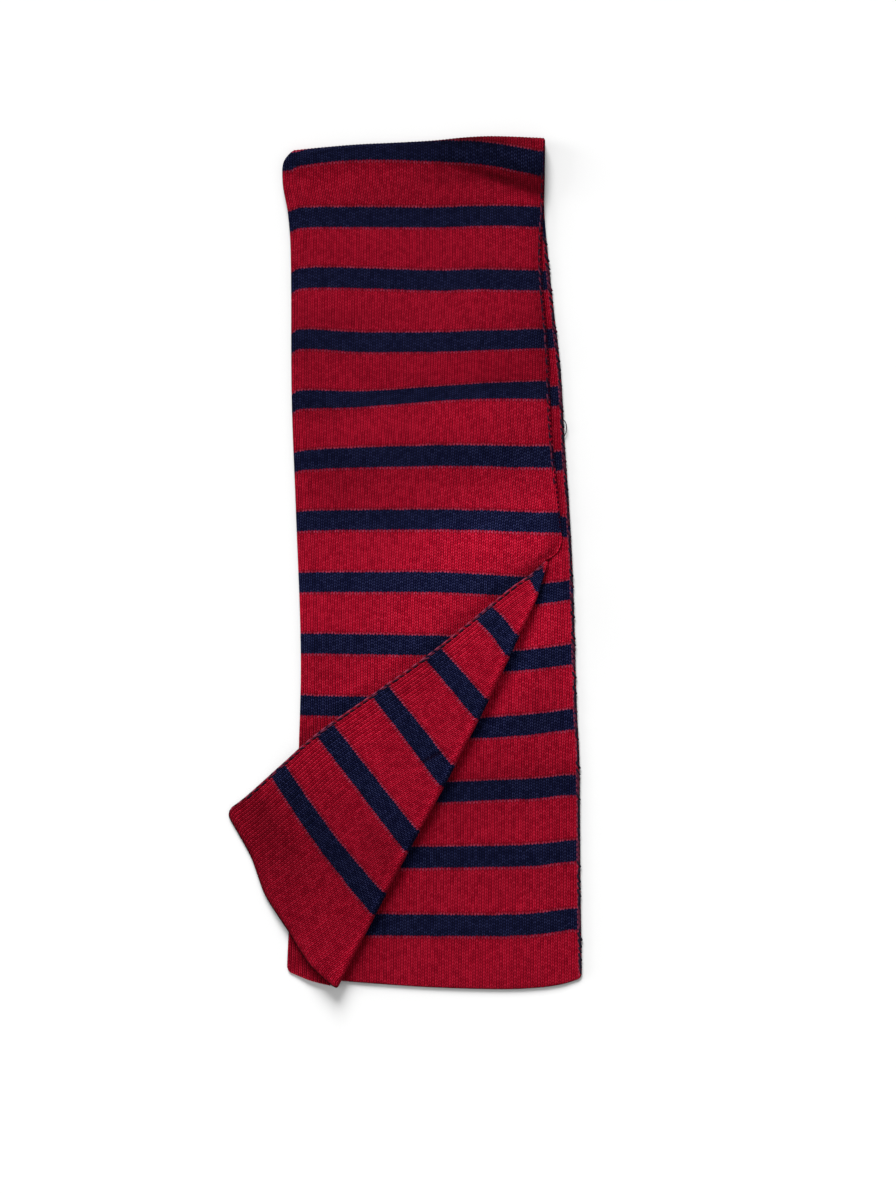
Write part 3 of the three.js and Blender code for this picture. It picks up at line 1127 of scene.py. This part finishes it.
@dataclass
class BackLeaf:
    """The strip's back half, flat on the surface from the top fold to its hem."""

    plan: ScarfPlan
    finish: StripedKnit
    wales: int = 76
    row_step: float = 4.2
    hem_corner: float = 5.0
    edge_line: EdgeLine = EdgeLine(3.4, 0.9, 0.42, (126, 46, 66))
    edge_droop: float = 0.9
    edge_reach: float = 24.0
    droop_grows: tuple[float, float] = (60, 130)
    ridges_from_edge: tuple[float, float] = (-1, 12)
    ridges_from_top: tuple[float, float] = (395, 425)
    cut: tuple[float, float] = (0.26, 0.84)
    ridges: tuple[Swelling, ...] = swelling_table(
        (112, 606, 46, 7, 3, 1.3), (140, 468, 40, 12, 66, 2.0), (156, 424, 16, 17, 0, 2.4),
        (60, 790, 70, 14, 4, 0.5), (152, 690, 18, 30, 10, 0.4),
    )
    # Soft spots of painted light and shade in the colour, with some lie of the fibres: lighter beside
    # the diagonal fold's shadow.
    nap_and_painted_light: tuple[Swelling, ...] = swelling_table(
        (168, 500, 10, 60, 0, 0.24), (138, 482, 48, 14, 68, 0.44), (121, 494, 30, 10, 63, 0.46),
        (102, 548, 46, 11, 63, 0.62), (148, 494, 26, 14, 0, 0.16), (50, 622, 10, 10, 0, 0.2),
        (2, 738, 10, 14, 0, 0.2), (120, 768, 32, 6, 0, 0.12), (144, 548, 34, 14, 4, 0.16),
        (130, 616, 52, 8, 4, 0.18), (126, 635, 58, 8, 3, -0.16), (100, 697, 60, 9, 3, 0.08),
        (64, 628, 150, 9, 63, 0.06), (100, 815, 80, 14, 3, 0.06),
    )
    stripes: StripeChart = StripeChart(
        (-67, 75, 115, 135, 151, 165),
        (
            (42, 42, 41, 40, 38.5, 37),
            (95, 95, 94, 92.5, 91, 89),
            (149, 148, 146, 144.5, 142, 140),
            (207, 206, 205, 203, 201, 199),
            (264, 263, 262, 260.5, 259, 256),
            (330, 329, 328, 326, 324.5, 322),
            (391, 390, 389.5, 389, 389, 390.8),
            (460, 459, 458, 457, 455, 452.8),
            (528, 525.8, 523.4, 521.4, 519.3, 517.2),
            (593.8, 590.8, 588.3, 586.2, 584.2, 582.4),
            (660.3, 653.4, 651.9, 650.8, 648.9, 648),
            (721, 719.3, 718.5, 717.3, 715.3, 713.5),
            (787, 788.2, 787.6, 786, 783.9, 781.8),
        ),
        ((19.5, 19.5),) * 8 + ((20.1, 20.1), (20.3, 20.3), (20.1, 20.1), (21.5, 21.5), (21.3, 21.3)),
        first=1,
    )
    cloth: Cloth = field(init=False)

    def __post_init__(self) -> None:
        """Works out the leaf's surface."""
        plan = self.plan
        top = float(plan.roll_start(np.array(0.5))) + plan.top_lap + plan.seam_gap
        length = plan.folded_length - top
        widths = fine_steps(plan.strip_width, plan.strip_width / (4 * self.wales), True, True)
        from_start = fine_steps(length, self.row_step, False, True)[:, None]
        share = (widths / plan.strip_width)[None, :]
        parted = plan.roll_start(share) + plan.top_lap + plan.seam_gap
        distance = parted + from_start * (plan.folded_length - parted) / length
        pull = plan.corner_pull(self.hem_corner, plan.folded_length - distance)
        left, right = plan.back_left(distance), plan.back_right(distance)
        across = lerp(left + pull, right - pull, share)
        down = plan.row_down(distance, across, plan.back_hem)
        half = np.minimum(plan.half_at(widths), plan.half_at(plan.strip_width - widths))
        half = np.minimum(half[None, :], plan.half_at(length - from_start))
        raised = sum(r.at(across, down) for r in self.ridges)
        shown = smoothstep(right - across, *self.ridges_from_edge)
        shown = shown * smoothstep(down, *self.ridges_from_top)
        droop = self.edge_droop * (1 - smoothstep(right - across, 0, self.edge_reach))
        self.cloth = Cloth(
            middle=plan.place(across, down, plan.half),
            half=half,
            wale=self.wales * (across - left) / (right - left),
            course=self.stripes.course(across, down),
            selvedge=right - across,
            raised=raised * shown - droop * smoothstep(distance, *self.droop_grows),
            pulled=np.zeros_like(across),
            nap_and_painted_light=sum(n.at(across, down) for n in self.nap_and_painted_light),
        )

    def build(self) -> bpy.types.Object:
        """Makes the leaf and hides the imported part that it stands in for.

        Returns:
            The piece.
        """
        finish = self.finish.material(self.edge_line)
        piece = dress(self.cloth.mesh("knit_back_leaf"), "knit_back_leaf", finish)
        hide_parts("back_leaf")
        return piece


@dataclass
class FrontLeaf:
    """The strip's front half, over the top fold and down on the back half."""

    plan: ScarfPlan
    finish: StripedKnit
    wales: int = 76
    row_step: float = 4.2
    roll_steps: int = 24
    lap_steps: int = 3
    ease_steps: int = 3
    first_flat: float = 14.0
    roll_settles: tuple[float, float] = (5, 40)
    top_left_corner: float = 18.0
    top_right_corner: float = 4.0
    hem_corner: float = 5.0
    course_pitch: float = 2.8
    # A dark line along the rounded right selvedge: painted shade at the rim.
    edge_line: EdgeLine = EdgeLine(1.2, 1.6, 0.6, (22, 0, 8))
    edge_droop: float = 1.1
    apex_droop: float = 2.4
    droop_starts: tuple[float, float] = (50, 110)
    droop_grows: tuple[float, float] = (360, 410)
    droop_ends: tuple[float, float] = (420, 426)
    # Painted light on the leaf's rim near the fold's point.
    apex_painted_light: float = 1.3
    apex_nears: tuple[float, float] = (388, 408)
    apex_inset: float = 5.0
    parted_inset: float = 20.0
    edge_reach: float = 15.0
    straight_below: float = 400.0
    straight_slope: float = 0.045
    left_bend: float = 1.6
    left_bend_reach: float = 9.0
    left_bend_fades: tuple[float, float] = (200, 480)
    cut: tuple[float, float] = (0.26, 0.85)
    cut_area: float = 0.166
    sink: float = 1.4
    sink_reach: float = 12.0
    sink_slope: float = 0.79
    sink_nears: tuple[float, float] = (6, 40)
    sink_points: int = 20
    # Painted shade where the roll at the top fold comes down to its crease.
    roll_painted_shade: float = -0.42
    roll_painted_shade_grows: tuple[float, float] = (0.25, 0.8)
    roll_painted_shade_fades: tuple[float, float] = (0.9, 1.12)
    # Soft spots of painted light and shade in the colour, with some lie of the fibres: the crease
    # below the top fold, the rim, the corner's edge.
    nap_and_painted_light: tuple[Swelling, ...] = swelling_table(
        (0, 5, 120, 5, 3, -0.4), (70, 4, 52, 9, -3, -0.42), (122, 3, 12, 6, 0, -0.18),
        (44, 40, 24, 6, -6, -0.27), (64, 36, 16, 5, -14, -0.18), (10, 47, 26, 6, 0, -0.14),
        (96, 46, 20, 6, -14, -0.22), (76, 27, 16, 4, -14, 0.32), (112, 65, 22, 5, 0, 0.14),
        (20, 66, 105, 9, 0, -0.18), (147, 180, 95, 10, -87, -0.42), (-75, 122, 50, 10, 0, -0.08),
        (92, 132, 22, 6, 0, -0.14), (88, 188, 48, 10, 2, -0.12), (130, 178, 18, 12, 0, -0.1),
        (-80, 186, 48, 10, 0, -0.18), (-98, 216, 40, 8, 0, -0.14), (28, 234, 46, 6, 0, 0.06),
        (44, 246, 70, 6, -3, -0.12), (102, 244, 24, 5, 0, -0.18), (50, 286, 75, 13, 2, 0.18),
        (134, 222, 30, 6, 0, -0.12), (-96, 236, 10, 18, 0, -0.12), (0, 283, 14, 16, 0, -0.12),
        (-66, 332, 20, 22, 0, -0.16), (148, 298, 8, 30, 0, 0.16), (124, 407, 34, 12, 0, 0.16),
        (132, 433, 15, 7, 41, -0.8), (-10, 536, 34, 13, 35, 0.16), (-84, 275, 24, 8, 0, -0.24),
        (20, 373, 52, 6, 0, -0.14), (20, 406, 95, 9, 0, 0.1), (139, 380, 13, 32, 0, 0.27),
        (86, 398, 60, 36, 10, 0.33), (-30, 446, 92, 34, 14, 0.25), (-20, 482, 74, 14, 0, 0.12),
        (10, 478, 50, 12, 38, 0.14), (-44, 542, 60, 12, 35, 0.2), (151, 404, 26, 7, -78, -0.18),
        (-100, 616, 18, 22, 0, -0.42), (-98, 820, 28, 16, -35, -0.34),
    )
    stripes: StripeChart = StripeChart(
        (-113, -105, -45, 35, 75, 105, 133),
        (
            (23, 19, 13, 14, 16.8, 22, 28.2),
            (84, 81.4, 80.9, 81.2, 79.6, 79.6, 80.6),
            (145.3, 141.6, 141.8, 144.3, 142.9, 143.7, 144.3),
            (205.5, 202.2, 205.8, 205.6, 204.3, 203.6, 202.3),
            (266.3, 263, 262.6, 256.9, 254.5, 253.7, 253.4),
            (326.3, 323.8, 320.8, 319, 319, 319.9, 320.2),
            (386.8, 384.3, 383.1, 382.9, 383.7, 384.8, 385.9),
            (447, 445.6, 445.2, 445.3, 447.4, 449, 451),
            (507.4, 506.4, 507.2, 508.6, 509.5, 511, 513),
            (567.6, 568, 569.4, 569.4, 570, 571, 573),
            (628, 628, 628, 628, 629, 630, 631),
            (689, 689, 689, 689, 689, 690, 691),
            (750, 750, 750, 750, 750, 750, 750),
        ),
        ((21.5, 24.5), (20.2, 20.2), (20.3, 20.3), (19.8, 19.8), (19, 15, 14.5, 17.6), (19.6, 21.4))
        + ((19.9, 19.9),) * 7,
        first=1,
    )
    cloth: Cloth = field(init=False)

    def __post_init__(self) -> None:
        """Works out the leaf's surface."""
        plan, parting = self.plan, self.plan.parting()
        apex = parting.rows[0][0]
        shares = fine_steps(plan.strip_width, plan.strip_width / (4 * self.wales), True, True)
        share = (shares / plan.strip_width)[None, :]
        rolled = plan.roll_start(share)
        lap = rolled + plan.top_lap * np.linspace(1, 0, self.lap_steps + 1)[:-1, None]
        turn = np.radians(np.linspace(-90, 90, self.roll_steps + 1))[:, None]
        radius = rolled - plan.half
        round_ = rolled - radius * np.cos(turn)
        ease = np.linspace(0, 1, self.ease_steps + 1)[1:-1, None]
        ease = rolled + (self.first_flat - rolled) * ease
        upper = self.first_flat + fine_steps(apex - self.first_flat, self.row_step, False, False)
        lower = apex + fine_steps(plan.folded_length - apex, self.row_step, False, True)[1:]
        flat = np.concatenate([upper, lower])[:, None] * np.ones_like(share)
        distance = np.concatenate([lap, round_, ease, flat])
        ending = plan.folded_length - distance
        edge = np.where(distance < apex, plan.front_right(distance), parting(distance))
        pull = plan.corner_pull(self.top_left_corner, distance)
        pull = pull + plan.corner_pull(self.hem_corner, ending)
        left = plan.front_left(distance)
        right = edge - plan.corner_pull(self.top_right_corner, distance)
        across = lerp(left + pull, right, share)
        down = plan.row_down(distance, across, plan.front_hem)
        settled = distance - rolled * (1 - smoothstep(distance, *self.roll_settles))
        height = plan.front_height(across, down) + plan.roll_lift(across, np.maximum(0, settled))
        height[: len(lap)] = plan.half
        height[len(lap) : len(lap) + len(turn)] = plan.half + radius * (1 + np.sin(turn))
        middle = plan.place(across, down, height)
        first = len(lap) + len(turn) + len(ease)
        bend = self.left_bend * (1 - smoothstep(down, *self.left_bend_fades))
        bend = bend * np.exp((plan.front_left(distance) - across) / self.left_bend_reach)
        course = self.stripes.course(across, down - bend)
        steps = np.linalg.norm(np.diff(middle[: first + 1], axis=0), axis=-1)
        back = np.cumsum(steps[::-1], axis=0)[::-1]
        course[:first] = course[first] - back / self.course_pitch
        droop = lerp(self.edge_droop, self.apex_droop, smoothstep(distance, *self.droop_grows))
        droop = droop * (1 - smoothstep(right - across, 0, self.edge_reach))
        droop = droop * smoothstep(distance, *self.droop_starts)
        droop = droop * (1 - smoothstep(distance, *self.droop_ends))
        near_apex = smoothstep(distance, *self.apex_nears)
        width = edge - left
        from_right = np.where(distance < apex, width * (1 - share), plan.half)
        half = np.minimum(plan.half_at(width * share), plan.half_at(from_right))
        half = np.minimum(half, plan.half_at(ending))
        whole = plan.front_right(np.minimum(distance, self.straight_below))
        whole = whole + self.straight_slope * np.maximum(0, distance - self.straight_below)
        inset = np.where(distance < apex, right - across, self.parted_inset)
        self.cloth = Cloth(
            middle=middle,
            half=half,
            wale=self.wales * (across - left) / (whole - left),
            course=course,
            selvedge=inset + self.apex_inset * near_apex,
            raised=-droop - self._sunk(across, down),
            pulled=np.zeros_like(across),
            # Nap and painted light, painted shade at the roll's crease, and painted light on the rim
            # near the fold's point.
            nap_and_painted_light=sum(n.at(across, down) for n in self.nap_and_painted_light)
            + self._roll_shade(across, distance)
            + self.apex_painted_light * near_apex * (1 - half / plan.half),
        )

    def _roll_shade(self, across: Array, distance: Array) -> Array:
        """The painted shade where the roll comes down to its crease: how much darker the cloth is
        there.

        Args:
            across: Places across.
            distance: How far along the strip from the fold each is.

        Returns:
            What it adds to the tone at each.
        """
        way = distance / self.plan.roll_reach(across)
        shade = smoothstep(way, *self.roll_painted_shade_grows) * (1 - smoothstep(way, *self.roll_painted_shade_fades))
        return self.roll_painted_shade * shade * self.plan.roll_crease(across)

    def _sunk(self, across: Array, down: Array) -> Array:
        """How far the leaf dips towards the turned corner's selvedge, and under it.

        Args:
            across: Places across.
            down: Places down.

        Returns:
            The depth at each.
        """
        line = self.plan.selvedge_line.points[:: -self.sink_points]
        above = (np.interp(across, line[:, 0], line[:, 1]) - down) * self.sink_slope
        from_apex = smoothstep(np.hypot(across - line[-1, 0], down - line[-1, 1]), *self.sink_nears)
        return self.sink * (1 - smoothstep(above, 0, self.sink_reach)) * from_apex

    def build(self) -> bpy.types.Object:
        """Makes the leaf and hides the imported part that it stands in for.

        Returns:
            The piece.
        """
        finish = self.finish.material(self.edge_line)
        piece = dress(self.cloth.mesh("knit_front_leaf"), "knit_front_leaf", finish)
        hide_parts("front_leaf")
        return piece


@dataclass
class TurnedCorner:
    """The front half's lower right corner, over the diagonal fold with its reverse up."""

    plan: ScarfPlan
    finish: StripedKnit
    row_step: float = 4.2
    wale_pitch: float = 3.4
    columns: int = 401
    roll_steps: int = 24
    fold_reach: float = 70.0
    far_corner: float = 10.0
    hem_band: float = 0.84
    edge_line: EdgeLine = EdgeLine(0.65, 1.1, 0.46, (98, 36, 52), 0.6)
    # Painted shade along the corner's rounded edges.
    edge_painted_shade: float = -0.62
    edge_painted_shade_fades: tuple[float, float] = (0.2, 2.4)
    soft_lift: float = 0.9
    soft_from_edge: float = 16.0
    soft_from_fold: float = 12.0
    tip_sink: float = 1.9
    tip_reach: float = 0.11
    pull_from: tuple[float, float] = (-4, 636)
    pull_to: tuple[float, float] = (50, 607)
    pull_depth: float = 0.7
    pull_width: float = 1.1
    pull_grows: tuple[float, float] = (0, 0.45)
    pull_fades: tuple[float, float] = (0.75, 1)
    cut: tuple[float, float] = (0.242, 0.447)
    cut_area: float = 0.054
    stripes: StripeChart = StripeChart(
        (0, 0.5, 1),
        (
            (0.037, 0.038, 0.045),
            (0.197, 0.189, 0.190),
            (0.356, 0.3455, 0.3385),
            (0.515, 0.504, 0.4965),
            (0.681, 0.6660, 0.6515),
            (0.833, 0.8250, 0.801),
        ),
        ((0.045, 0.045), (0.047, 0.049), (0.046, 0.048), (0.046, 0.051))
        + ((0.050, 0.051), (0.044, 0.051)),
        first=8,
    )
    creases: tuple[Swelling, ...] = swelling_table(
        (-142, 690, 46, 8, -57, -0.8), (-122, 676, 44, 9, -57, 0.9), (-60, 720, 60, 15, -50, 0.7),
        (20, 600, 60, 13, -52, 0.6), (-40, 640, 50, 12, 40, 0.6), (-95, 770, 40, 10, 30, 0.5),
    )
    # Soft spots of painted light and shade in the colour, with some lie of the fibres: darker at the
    # far end and along the hem.
    nap_and_painted_light: tuple[Swelling, ...] = swelling_table(
        (-158, 715, 80, 34, -57, -0.27), (-70, 720, 90, 45, -57, -0.17),
        (-140, 682, 38, 16, -54, -0.22), (-167, 690, 11, 14, 0, 0.12),
        (-32, 700, 34, 10, -57, -0.26), (-38, 596, 44, 11, 35, 0.2), (62, 512, 32, 12, 60, 0.13),
        (-72, 838, 16, 12, 0, -0.06), (70, 530, 90, 18, 62, 0.12), (108, 486, 36, 9, 63, 0.24),
        (-128, 660, 22, 7, 40, -0.1), (-26, 630, 10, 22, 0, 0.14), (-50, 672, 12, 24, 0, 0.2),
        (-49, 722, 8, 8, 0, -0.16), (-50, 828, 12, 16, 0, 0.18), (146, 430, 8, 7, 0, -0.3),
    )
    # Painted light along the diagonal fold's edge, less towards its lower end.
    fold_painted_light: float = 0.42
    fold_painted_light_reach: float = 13.0
    fold_painted_light_low: float = 0.55
    fold_painted_light_fades: tuple[float, float] = (0.35, 0.7)
    cloth: Cloth = field(init=False)

    def __post_init__(self) -> None:
        """Works out the corner's surface."""
        plan = self.plan
        length = plan.selvedge_line.length
        rows = fine_steps(length, self.row_step, False, True)
        share = rows / length
        fold = plan.fold_at(share)
        settled, selvedge = fold.inside(fold.start), plan.selvedge_line.at(share)
        way = selvedge - settled
        reach = np.linalg.norm(way, axis=-1)
        way = way / reach[:, None]
        reach = (reach - plan.corner_pull(self.far_corner, length - rows))[:, None]
        rim = np.array([0, *RIM_STEPS[:3], plan.half])
        inside = np.linspace(0, 1, self.columns + 1)[None, 1:]
        steps = np.concatenate(
            [np.repeat(rim[None], len(rows), 0), plan.half + (reach - plan.half) * inside], axis=1
        )
        from_fold = reach - steps
        at = settled[:, None] + way[:, None] * from_fold[..., None]
        far, end = plan.selvedge_line.at(np.array(1.0)), plan.fold_line.at(np.array(1.0))
        hem_way = (far - end) / np.linalg.norm(far - end)
        outward = np.array([hem_way[1], -hem_way[0]])
        bow = smoothstep(share, self.hem_band, 1)[:, None] * plan.hem_bow(from_fold / reach)
        at = at + bow[..., None] * outward
        near = np.maximum(0, 1 - (from_fold / self.fold_reach) ** 2) ** 2
        height = plan.corner_height(at[..., 0], at[..., 1]) + fold.rise[:, None] * near
        top = height[:, -1:]
        under = plan.front_height(settled[:, 0], settled[:, 1])[:, None]
        radius = (top - under) / 2
        turn = np.radians(np.linspace(90, -90, self.roll_steps + 1))[None, 1:]
        rolled = [fold.inside(fold.start - fold.radius * c) for c in np.cos(turn[0])]
        rolled = np.stack(rolled, axis=1)
        rolled_height = top - radius * (1 - np.sin(turn))
        lap = fold.inside(fold.start + plan.fold_lap)
        lap_height = plan.front_height(lap[:, 0], lap[:, 1])
        plane = np.concatenate([at, rolled, lap[:, None]], axis=1)
        heights = np.concatenate([height, rolled_height, lap_height[:, None]], axis=1)
        middle = plan.place(plane[..., 0], plane[..., 1], heights)
        round_steps = np.linalg.norm(np.diff(middle[:, steps.shape[1] - 1 :], axis=1), axis=-1)
        onward = steps[:, -1:] + np.cumsum(round_steps, axis=1)
        from_selvedge = np.concatenate([steps, onward], axis=1)
        side = np.minimum(1, from_selvedge / reach)
        half = np.minimum(plan.half_at(from_selvedge), plan.half_at(length - rows)[:, None])
        pulled = self._pulled(plane[..., 0], plane[..., 1]) * (from_selvedge <= reach)
        from_edge = np.minimum(from_selvedge, (length - rows)[:, None])
        soft = sum(c.at(plane[..., 0], plane[..., 1]) for c in self.creases) + self.soft_lift
        soft = soft * smoothstep(from_edge, 0, self.soft_from_edge)
        soft = soft * smoothstep(reach - from_selvedge, 0, self.soft_from_fold)
        soft = soft - self.tip_sink * (1 - smoothstep(share, 0, self.tip_reach))[:, None]
        # Painted light along the fold's edge, painted shade along the other edges, and soft spots of
        # nap and painted light.
        nap_and_painted_light = self.fold_painted_light * (1 - smoothstep(reach - from_selvedge, 0, self.fold_painted_light_reach))
        nap_and_painted_light = nap_and_painted_light * lerp(1, self.fold_painted_light_low, smoothstep(share, *self.fold_painted_light_fades))[:, None]
        nap_and_painted_light = nap_and_painted_light + self.edge_painted_shade * (1 - smoothstep(from_edge, *self.edge_painted_shade_fades))
        nap_and_painted_light = nap_and_painted_light + sum(n.at(plane[..., 0], plane[..., 1]) for n in self.nap_and_painted_light)
        self.cloth = Cloth(
            middle=middle,
            half=half,
            wale=from_selvedge / self.wale_pitch,
            course=self.stripes.course(side, share[:, None] * np.ones_like(side)),
            selvedge=from_selvedge,
            raised=soft - self.pull_depth * pulled,
            pulled=pulled,
            nap_and_painted_light=nap_and_painted_light,
        )

    def _pulled(self, across: Array, down: Array) -> Array:
        """How much of a pulled stitch column a place shows, from 0 to 1.

        Args:
            across: Places across.
            down: Places down.

        Returns:
            The share at each.
        """
        start, end = np.array(self.pull_from), np.array(self.pull_to)
        length = float(np.linalg.norm(end - start))
        way = (end - start) / length
        along = ((across - start[0]) * way[0] + (down - start[1]) * way[1]) / length
        aside = (down - start[1]) * way[0] - (across - start[0]) * way[1]
        fade = smoothstep(along, *self.pull_grows) * (1 - smoothstep(along, *self.pull_fades))
        return fade * np.exp(-0.5 * (aside / self.pull_width) ** 2)

    def build(self) -> bpy.types.Object:
        """Makes the corner and hides the imported part that it stands in for.

        Returns:
            The piece.
        """
        finish = self.finish.material(self.edge_line)
        piece = dress(self.cloth.mesh("knit_turned_corner"), "knit_turned_corner", finish)
        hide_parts("turned_corner")
        return piece


@dataclass
class CarriedYarn:
    """The yarn not in use, carried up a selvedge in short floats from stripe to stripe."""

    cloth: Cloth
    name: str
    inset: float
    shown: tuple[float, float]
    slant: float
    spacing: float = 7.4
    length: float = 6.4
    thickness: float = 1.5
    arch: float = 0.35
    wander: float = 12.0
    lowest: float = 0.0

    def _lines(self, stretch: Stretch) -> list[Array]:
        """Where one of the yarns floats along the selvedge.

        Args:
            stretch: Whether it floats over the stripes or between them.

        Returns:
            Points of each stretch, in metres.
        """
        cloth = self.cloth
        points = cloth.track(self.inset) * MM
        points[:, 2] = np.maximum(points[:, 2], self.lowest * MM)
        nearest = np.argmin(np.abs(cloth.selvedge - self.inset), axis=1)
        rows = np.arange(len(points))
        inside = np.mod(cloth.course[rows, nearest] + STRIPE / 2, REPEAT) < STRIPE
        low, high = (round(share * len(points)) for share in self.shown)
        keep = (inside == (stretch is Stretch.OVER_STRIPES)) & (rows >= low) & (rows < high)
        breaks = np.flatnonzero(np.diff(keep.astype(int))) + 1
        runs = np.split(rows, breaks)
        return [points[run] for run in runs if keep[run[0]] and len(run) > 2]

    def build(self, yarns: dict[Stretch, bpy.types.Material]) -> None:
        """Lays each yarn over its stretches.

        Args:
            yarns: The yarn for each kind of stretch.
        """
        sizes = (size * MM for size in (self.spacing, self.length, self.thickness, self.arch))
        row = YarnRow(*sizes, self.slant, self.wander, seed=11)
        for stretch, yarn in yarns.items():
            row.build(f"{self.name}_{stretch.value}", self._lines(stretch), yarn)


@dataclass(frozen=True)
class SnagLoop:
    """A small loop of yarn that has been pulled out of the right selvedge."""

    plan: ScarfPlan
    points: tuple[tuple[float, float, float], ...] = (
        (157.8, 282.6, 1.6),
        (160.4, 284.6, 2.8),
        (161.6, 288.4, 2.4),
        (161.7, 292.8, 2.5),
        (160.9, 296.8, 2.2),
        (159.0, 299.6, 1.6),
    )
    radius: float = 0.45

    def build(self, yarn: bpy.types.Material) -> bpy.types.Object:
        """Bends one round length of yarn through its points.

        Args:
            yarn: The yarn's material.

        Returns:
            The piece.
        """
        curve = bpy.data.curves.new("snag_loop", "CURVE")
        curve.dimensions = "3D"
        curve.bevel_depth = self.radius * MM
        curve.bevel_resolution = 2
        curve.resolution_u = 6
        curve.use_fill_caps = True
        spline = curve.splines.new("NURBS")
        spline.points.add(len(self.points) - 1)
        for target, (across, down, height) in zip(spline.points, self.points):
            x, y, z = self.plan.place(np.array(across), np.array(down), np.array(height)) * MM
            target.co = (x, y, z, 1)
        spline.use_endpoint_u = True
        spline.order_u = 4
        return dress(as_mesh(put("snag_loop_curve", curve)), "snag_loop", yarn)


@dataclass(frozen=True)
class SoftSun:
    """A soft light from far away."""

    name: str
    energy: float
    softness: float
    height: float
    bearing: float

    def build(self) -> None:
        """Adds the light."""
        lamp = bpy.data.lights.new(self.name, "SUN")
        lamp.energy = self.energy
        lamp.angle = math.radians(self.softness)
        light = put(self.name, lamp)
        light.rotation_euler = (math.radians(self.height - 90), 0, math.radians(self.bearing))


@dataclass(frozen=True)
class Studio:
    """A white floor, even light with soft low ones from two sides, and a camera overhead."""

    floor_size: float = 12.0
    floor_below: float = 0.0004
    sky: float = 0.7
    suns: tuple[SoftSun, ...] = (
        SoftSun("low_light", 8.1, 28.0, 29.0, 10.0),
        SoftSun("side_light", 2.6, 30.0, 13.0, 80.0),
    )
    lens: float = 85.0
    sensor: float = 36.0
    view_height: float = 1.195
    looks_at: tuple[float, float] = (0.043, -0.0345)

    def floor(self) -> bpy.types.Object:
        """Makes the floor, just under the scarf.

        Returns:
            The floor.
        """
        half, below = self.floor_size / 2, -self.floor_below
        corners = [(x * half, y * half, below) for x, y in ((-1, -1), (1, -1), (1, 1), (-1, 1))]
        mesh = bpy.data.meshes.new("floor")
        mesh.from_pydata(corners, [], [(0, 1, 2, 3)])
        mesh.materials.append(PaleFloor().material())
        floor = put("floor", mesh)
        return floor

    def lights(self) -> None:
        """Sets the even light and adds the low ones."""
        world = bpy.data.worlds.new("studio")
        world.use_nodes = True
        background = world.node_tree.nodes["Background"]
        background.inputs["Color"].default_value = (1, 1, 1, 1)
        background.inputs["Strength"].default_value = self.sky
        bpy.context.scene.world = world
        for sun in self.suns:
            sun.build()

    def camera(self) -> None:
        """Hangs the camera straight over the scarf."""
        data = bpy.data.cameras.new("camera")
        data.lens, data.sensor_width = self.lens, self.sensor
        camera = put("camera", data)
        camera.location = (*self.looks_at, self.lens / self.sensor * self.view_height)
        bpy.context.scene.camera = camera
        bpy.context.scene.view_settings.view_transform = "Standard"


def main() -> None:
    """Builds the scarf, its yarn and the studio, in order."""
    logging.basicConfig(level=logging.INFO, format="%(message)s")
    plan, knit = ScarfPlan(), StripedKnit()
    # A paler and a darker copy of the crimson yarn; the darker one is painted shade, for the back
    # leaf's selvedge.
    pale = PlainYarn("pale_crimson_yarn", (38, 8, 21), (82, 26, 45)).material()
    shaded = PlainYarn("shaded_crimson_yarn", (26, 5, 17), (66, 18, 34)).material()
    navy = PlainYarn("navy_yarn", (2, 1, 8), (22, 12, 26)).material()
    back, front, corner = BackLeaf(plan, knit), FrontLeaf(plan, knit), TurnedCorner(plan, knit)
    for leaf in (back, front, corner):
        piece = leaf.build()
        LOG.info("%s: %d faces", piece.name, len(piece.data.polygons))
    selvedges = (
        CarriedYarn(
            back.cloth,
            "back_selvedge",
            1.6,
            (0.1, 0.972),
            11.0,
            spacing=6.8,
            length=7.6,
            thickness=2.4,
            arch=0.6,
            wander=17.0,
            lowest=2.5,
        ),
        CarriedYarn(front.cloth, "front_selvedge", 2.8, (0.15, 0.47), 4.0, thickness=1.4),
        CarriedYarn(corner.cloth, "corner_selvedge", 2.4, (0.0, 0.89), -9.0, thickness=1.5),
    )
    for selvedge, crimson in zip(selvedges, (shaded, pale, pale)):
        selvedge.build({Stretch.BETWEEN_STRIPES: navy, Stretch.OVER_STRIPES: crimson})
        LOG.info("%s: yarn laid", selvedge.name)
    snag = SnagLoop(plan).build(navy)
    LOG.info("%s: %d faces", snag.name, len(snag.data.polygons))
    studio = Studio()
    studio.floor()
    studio.lights()
    studio.camera()
    LOG.info("studio set")


if __name__ == "__main__":
    main()
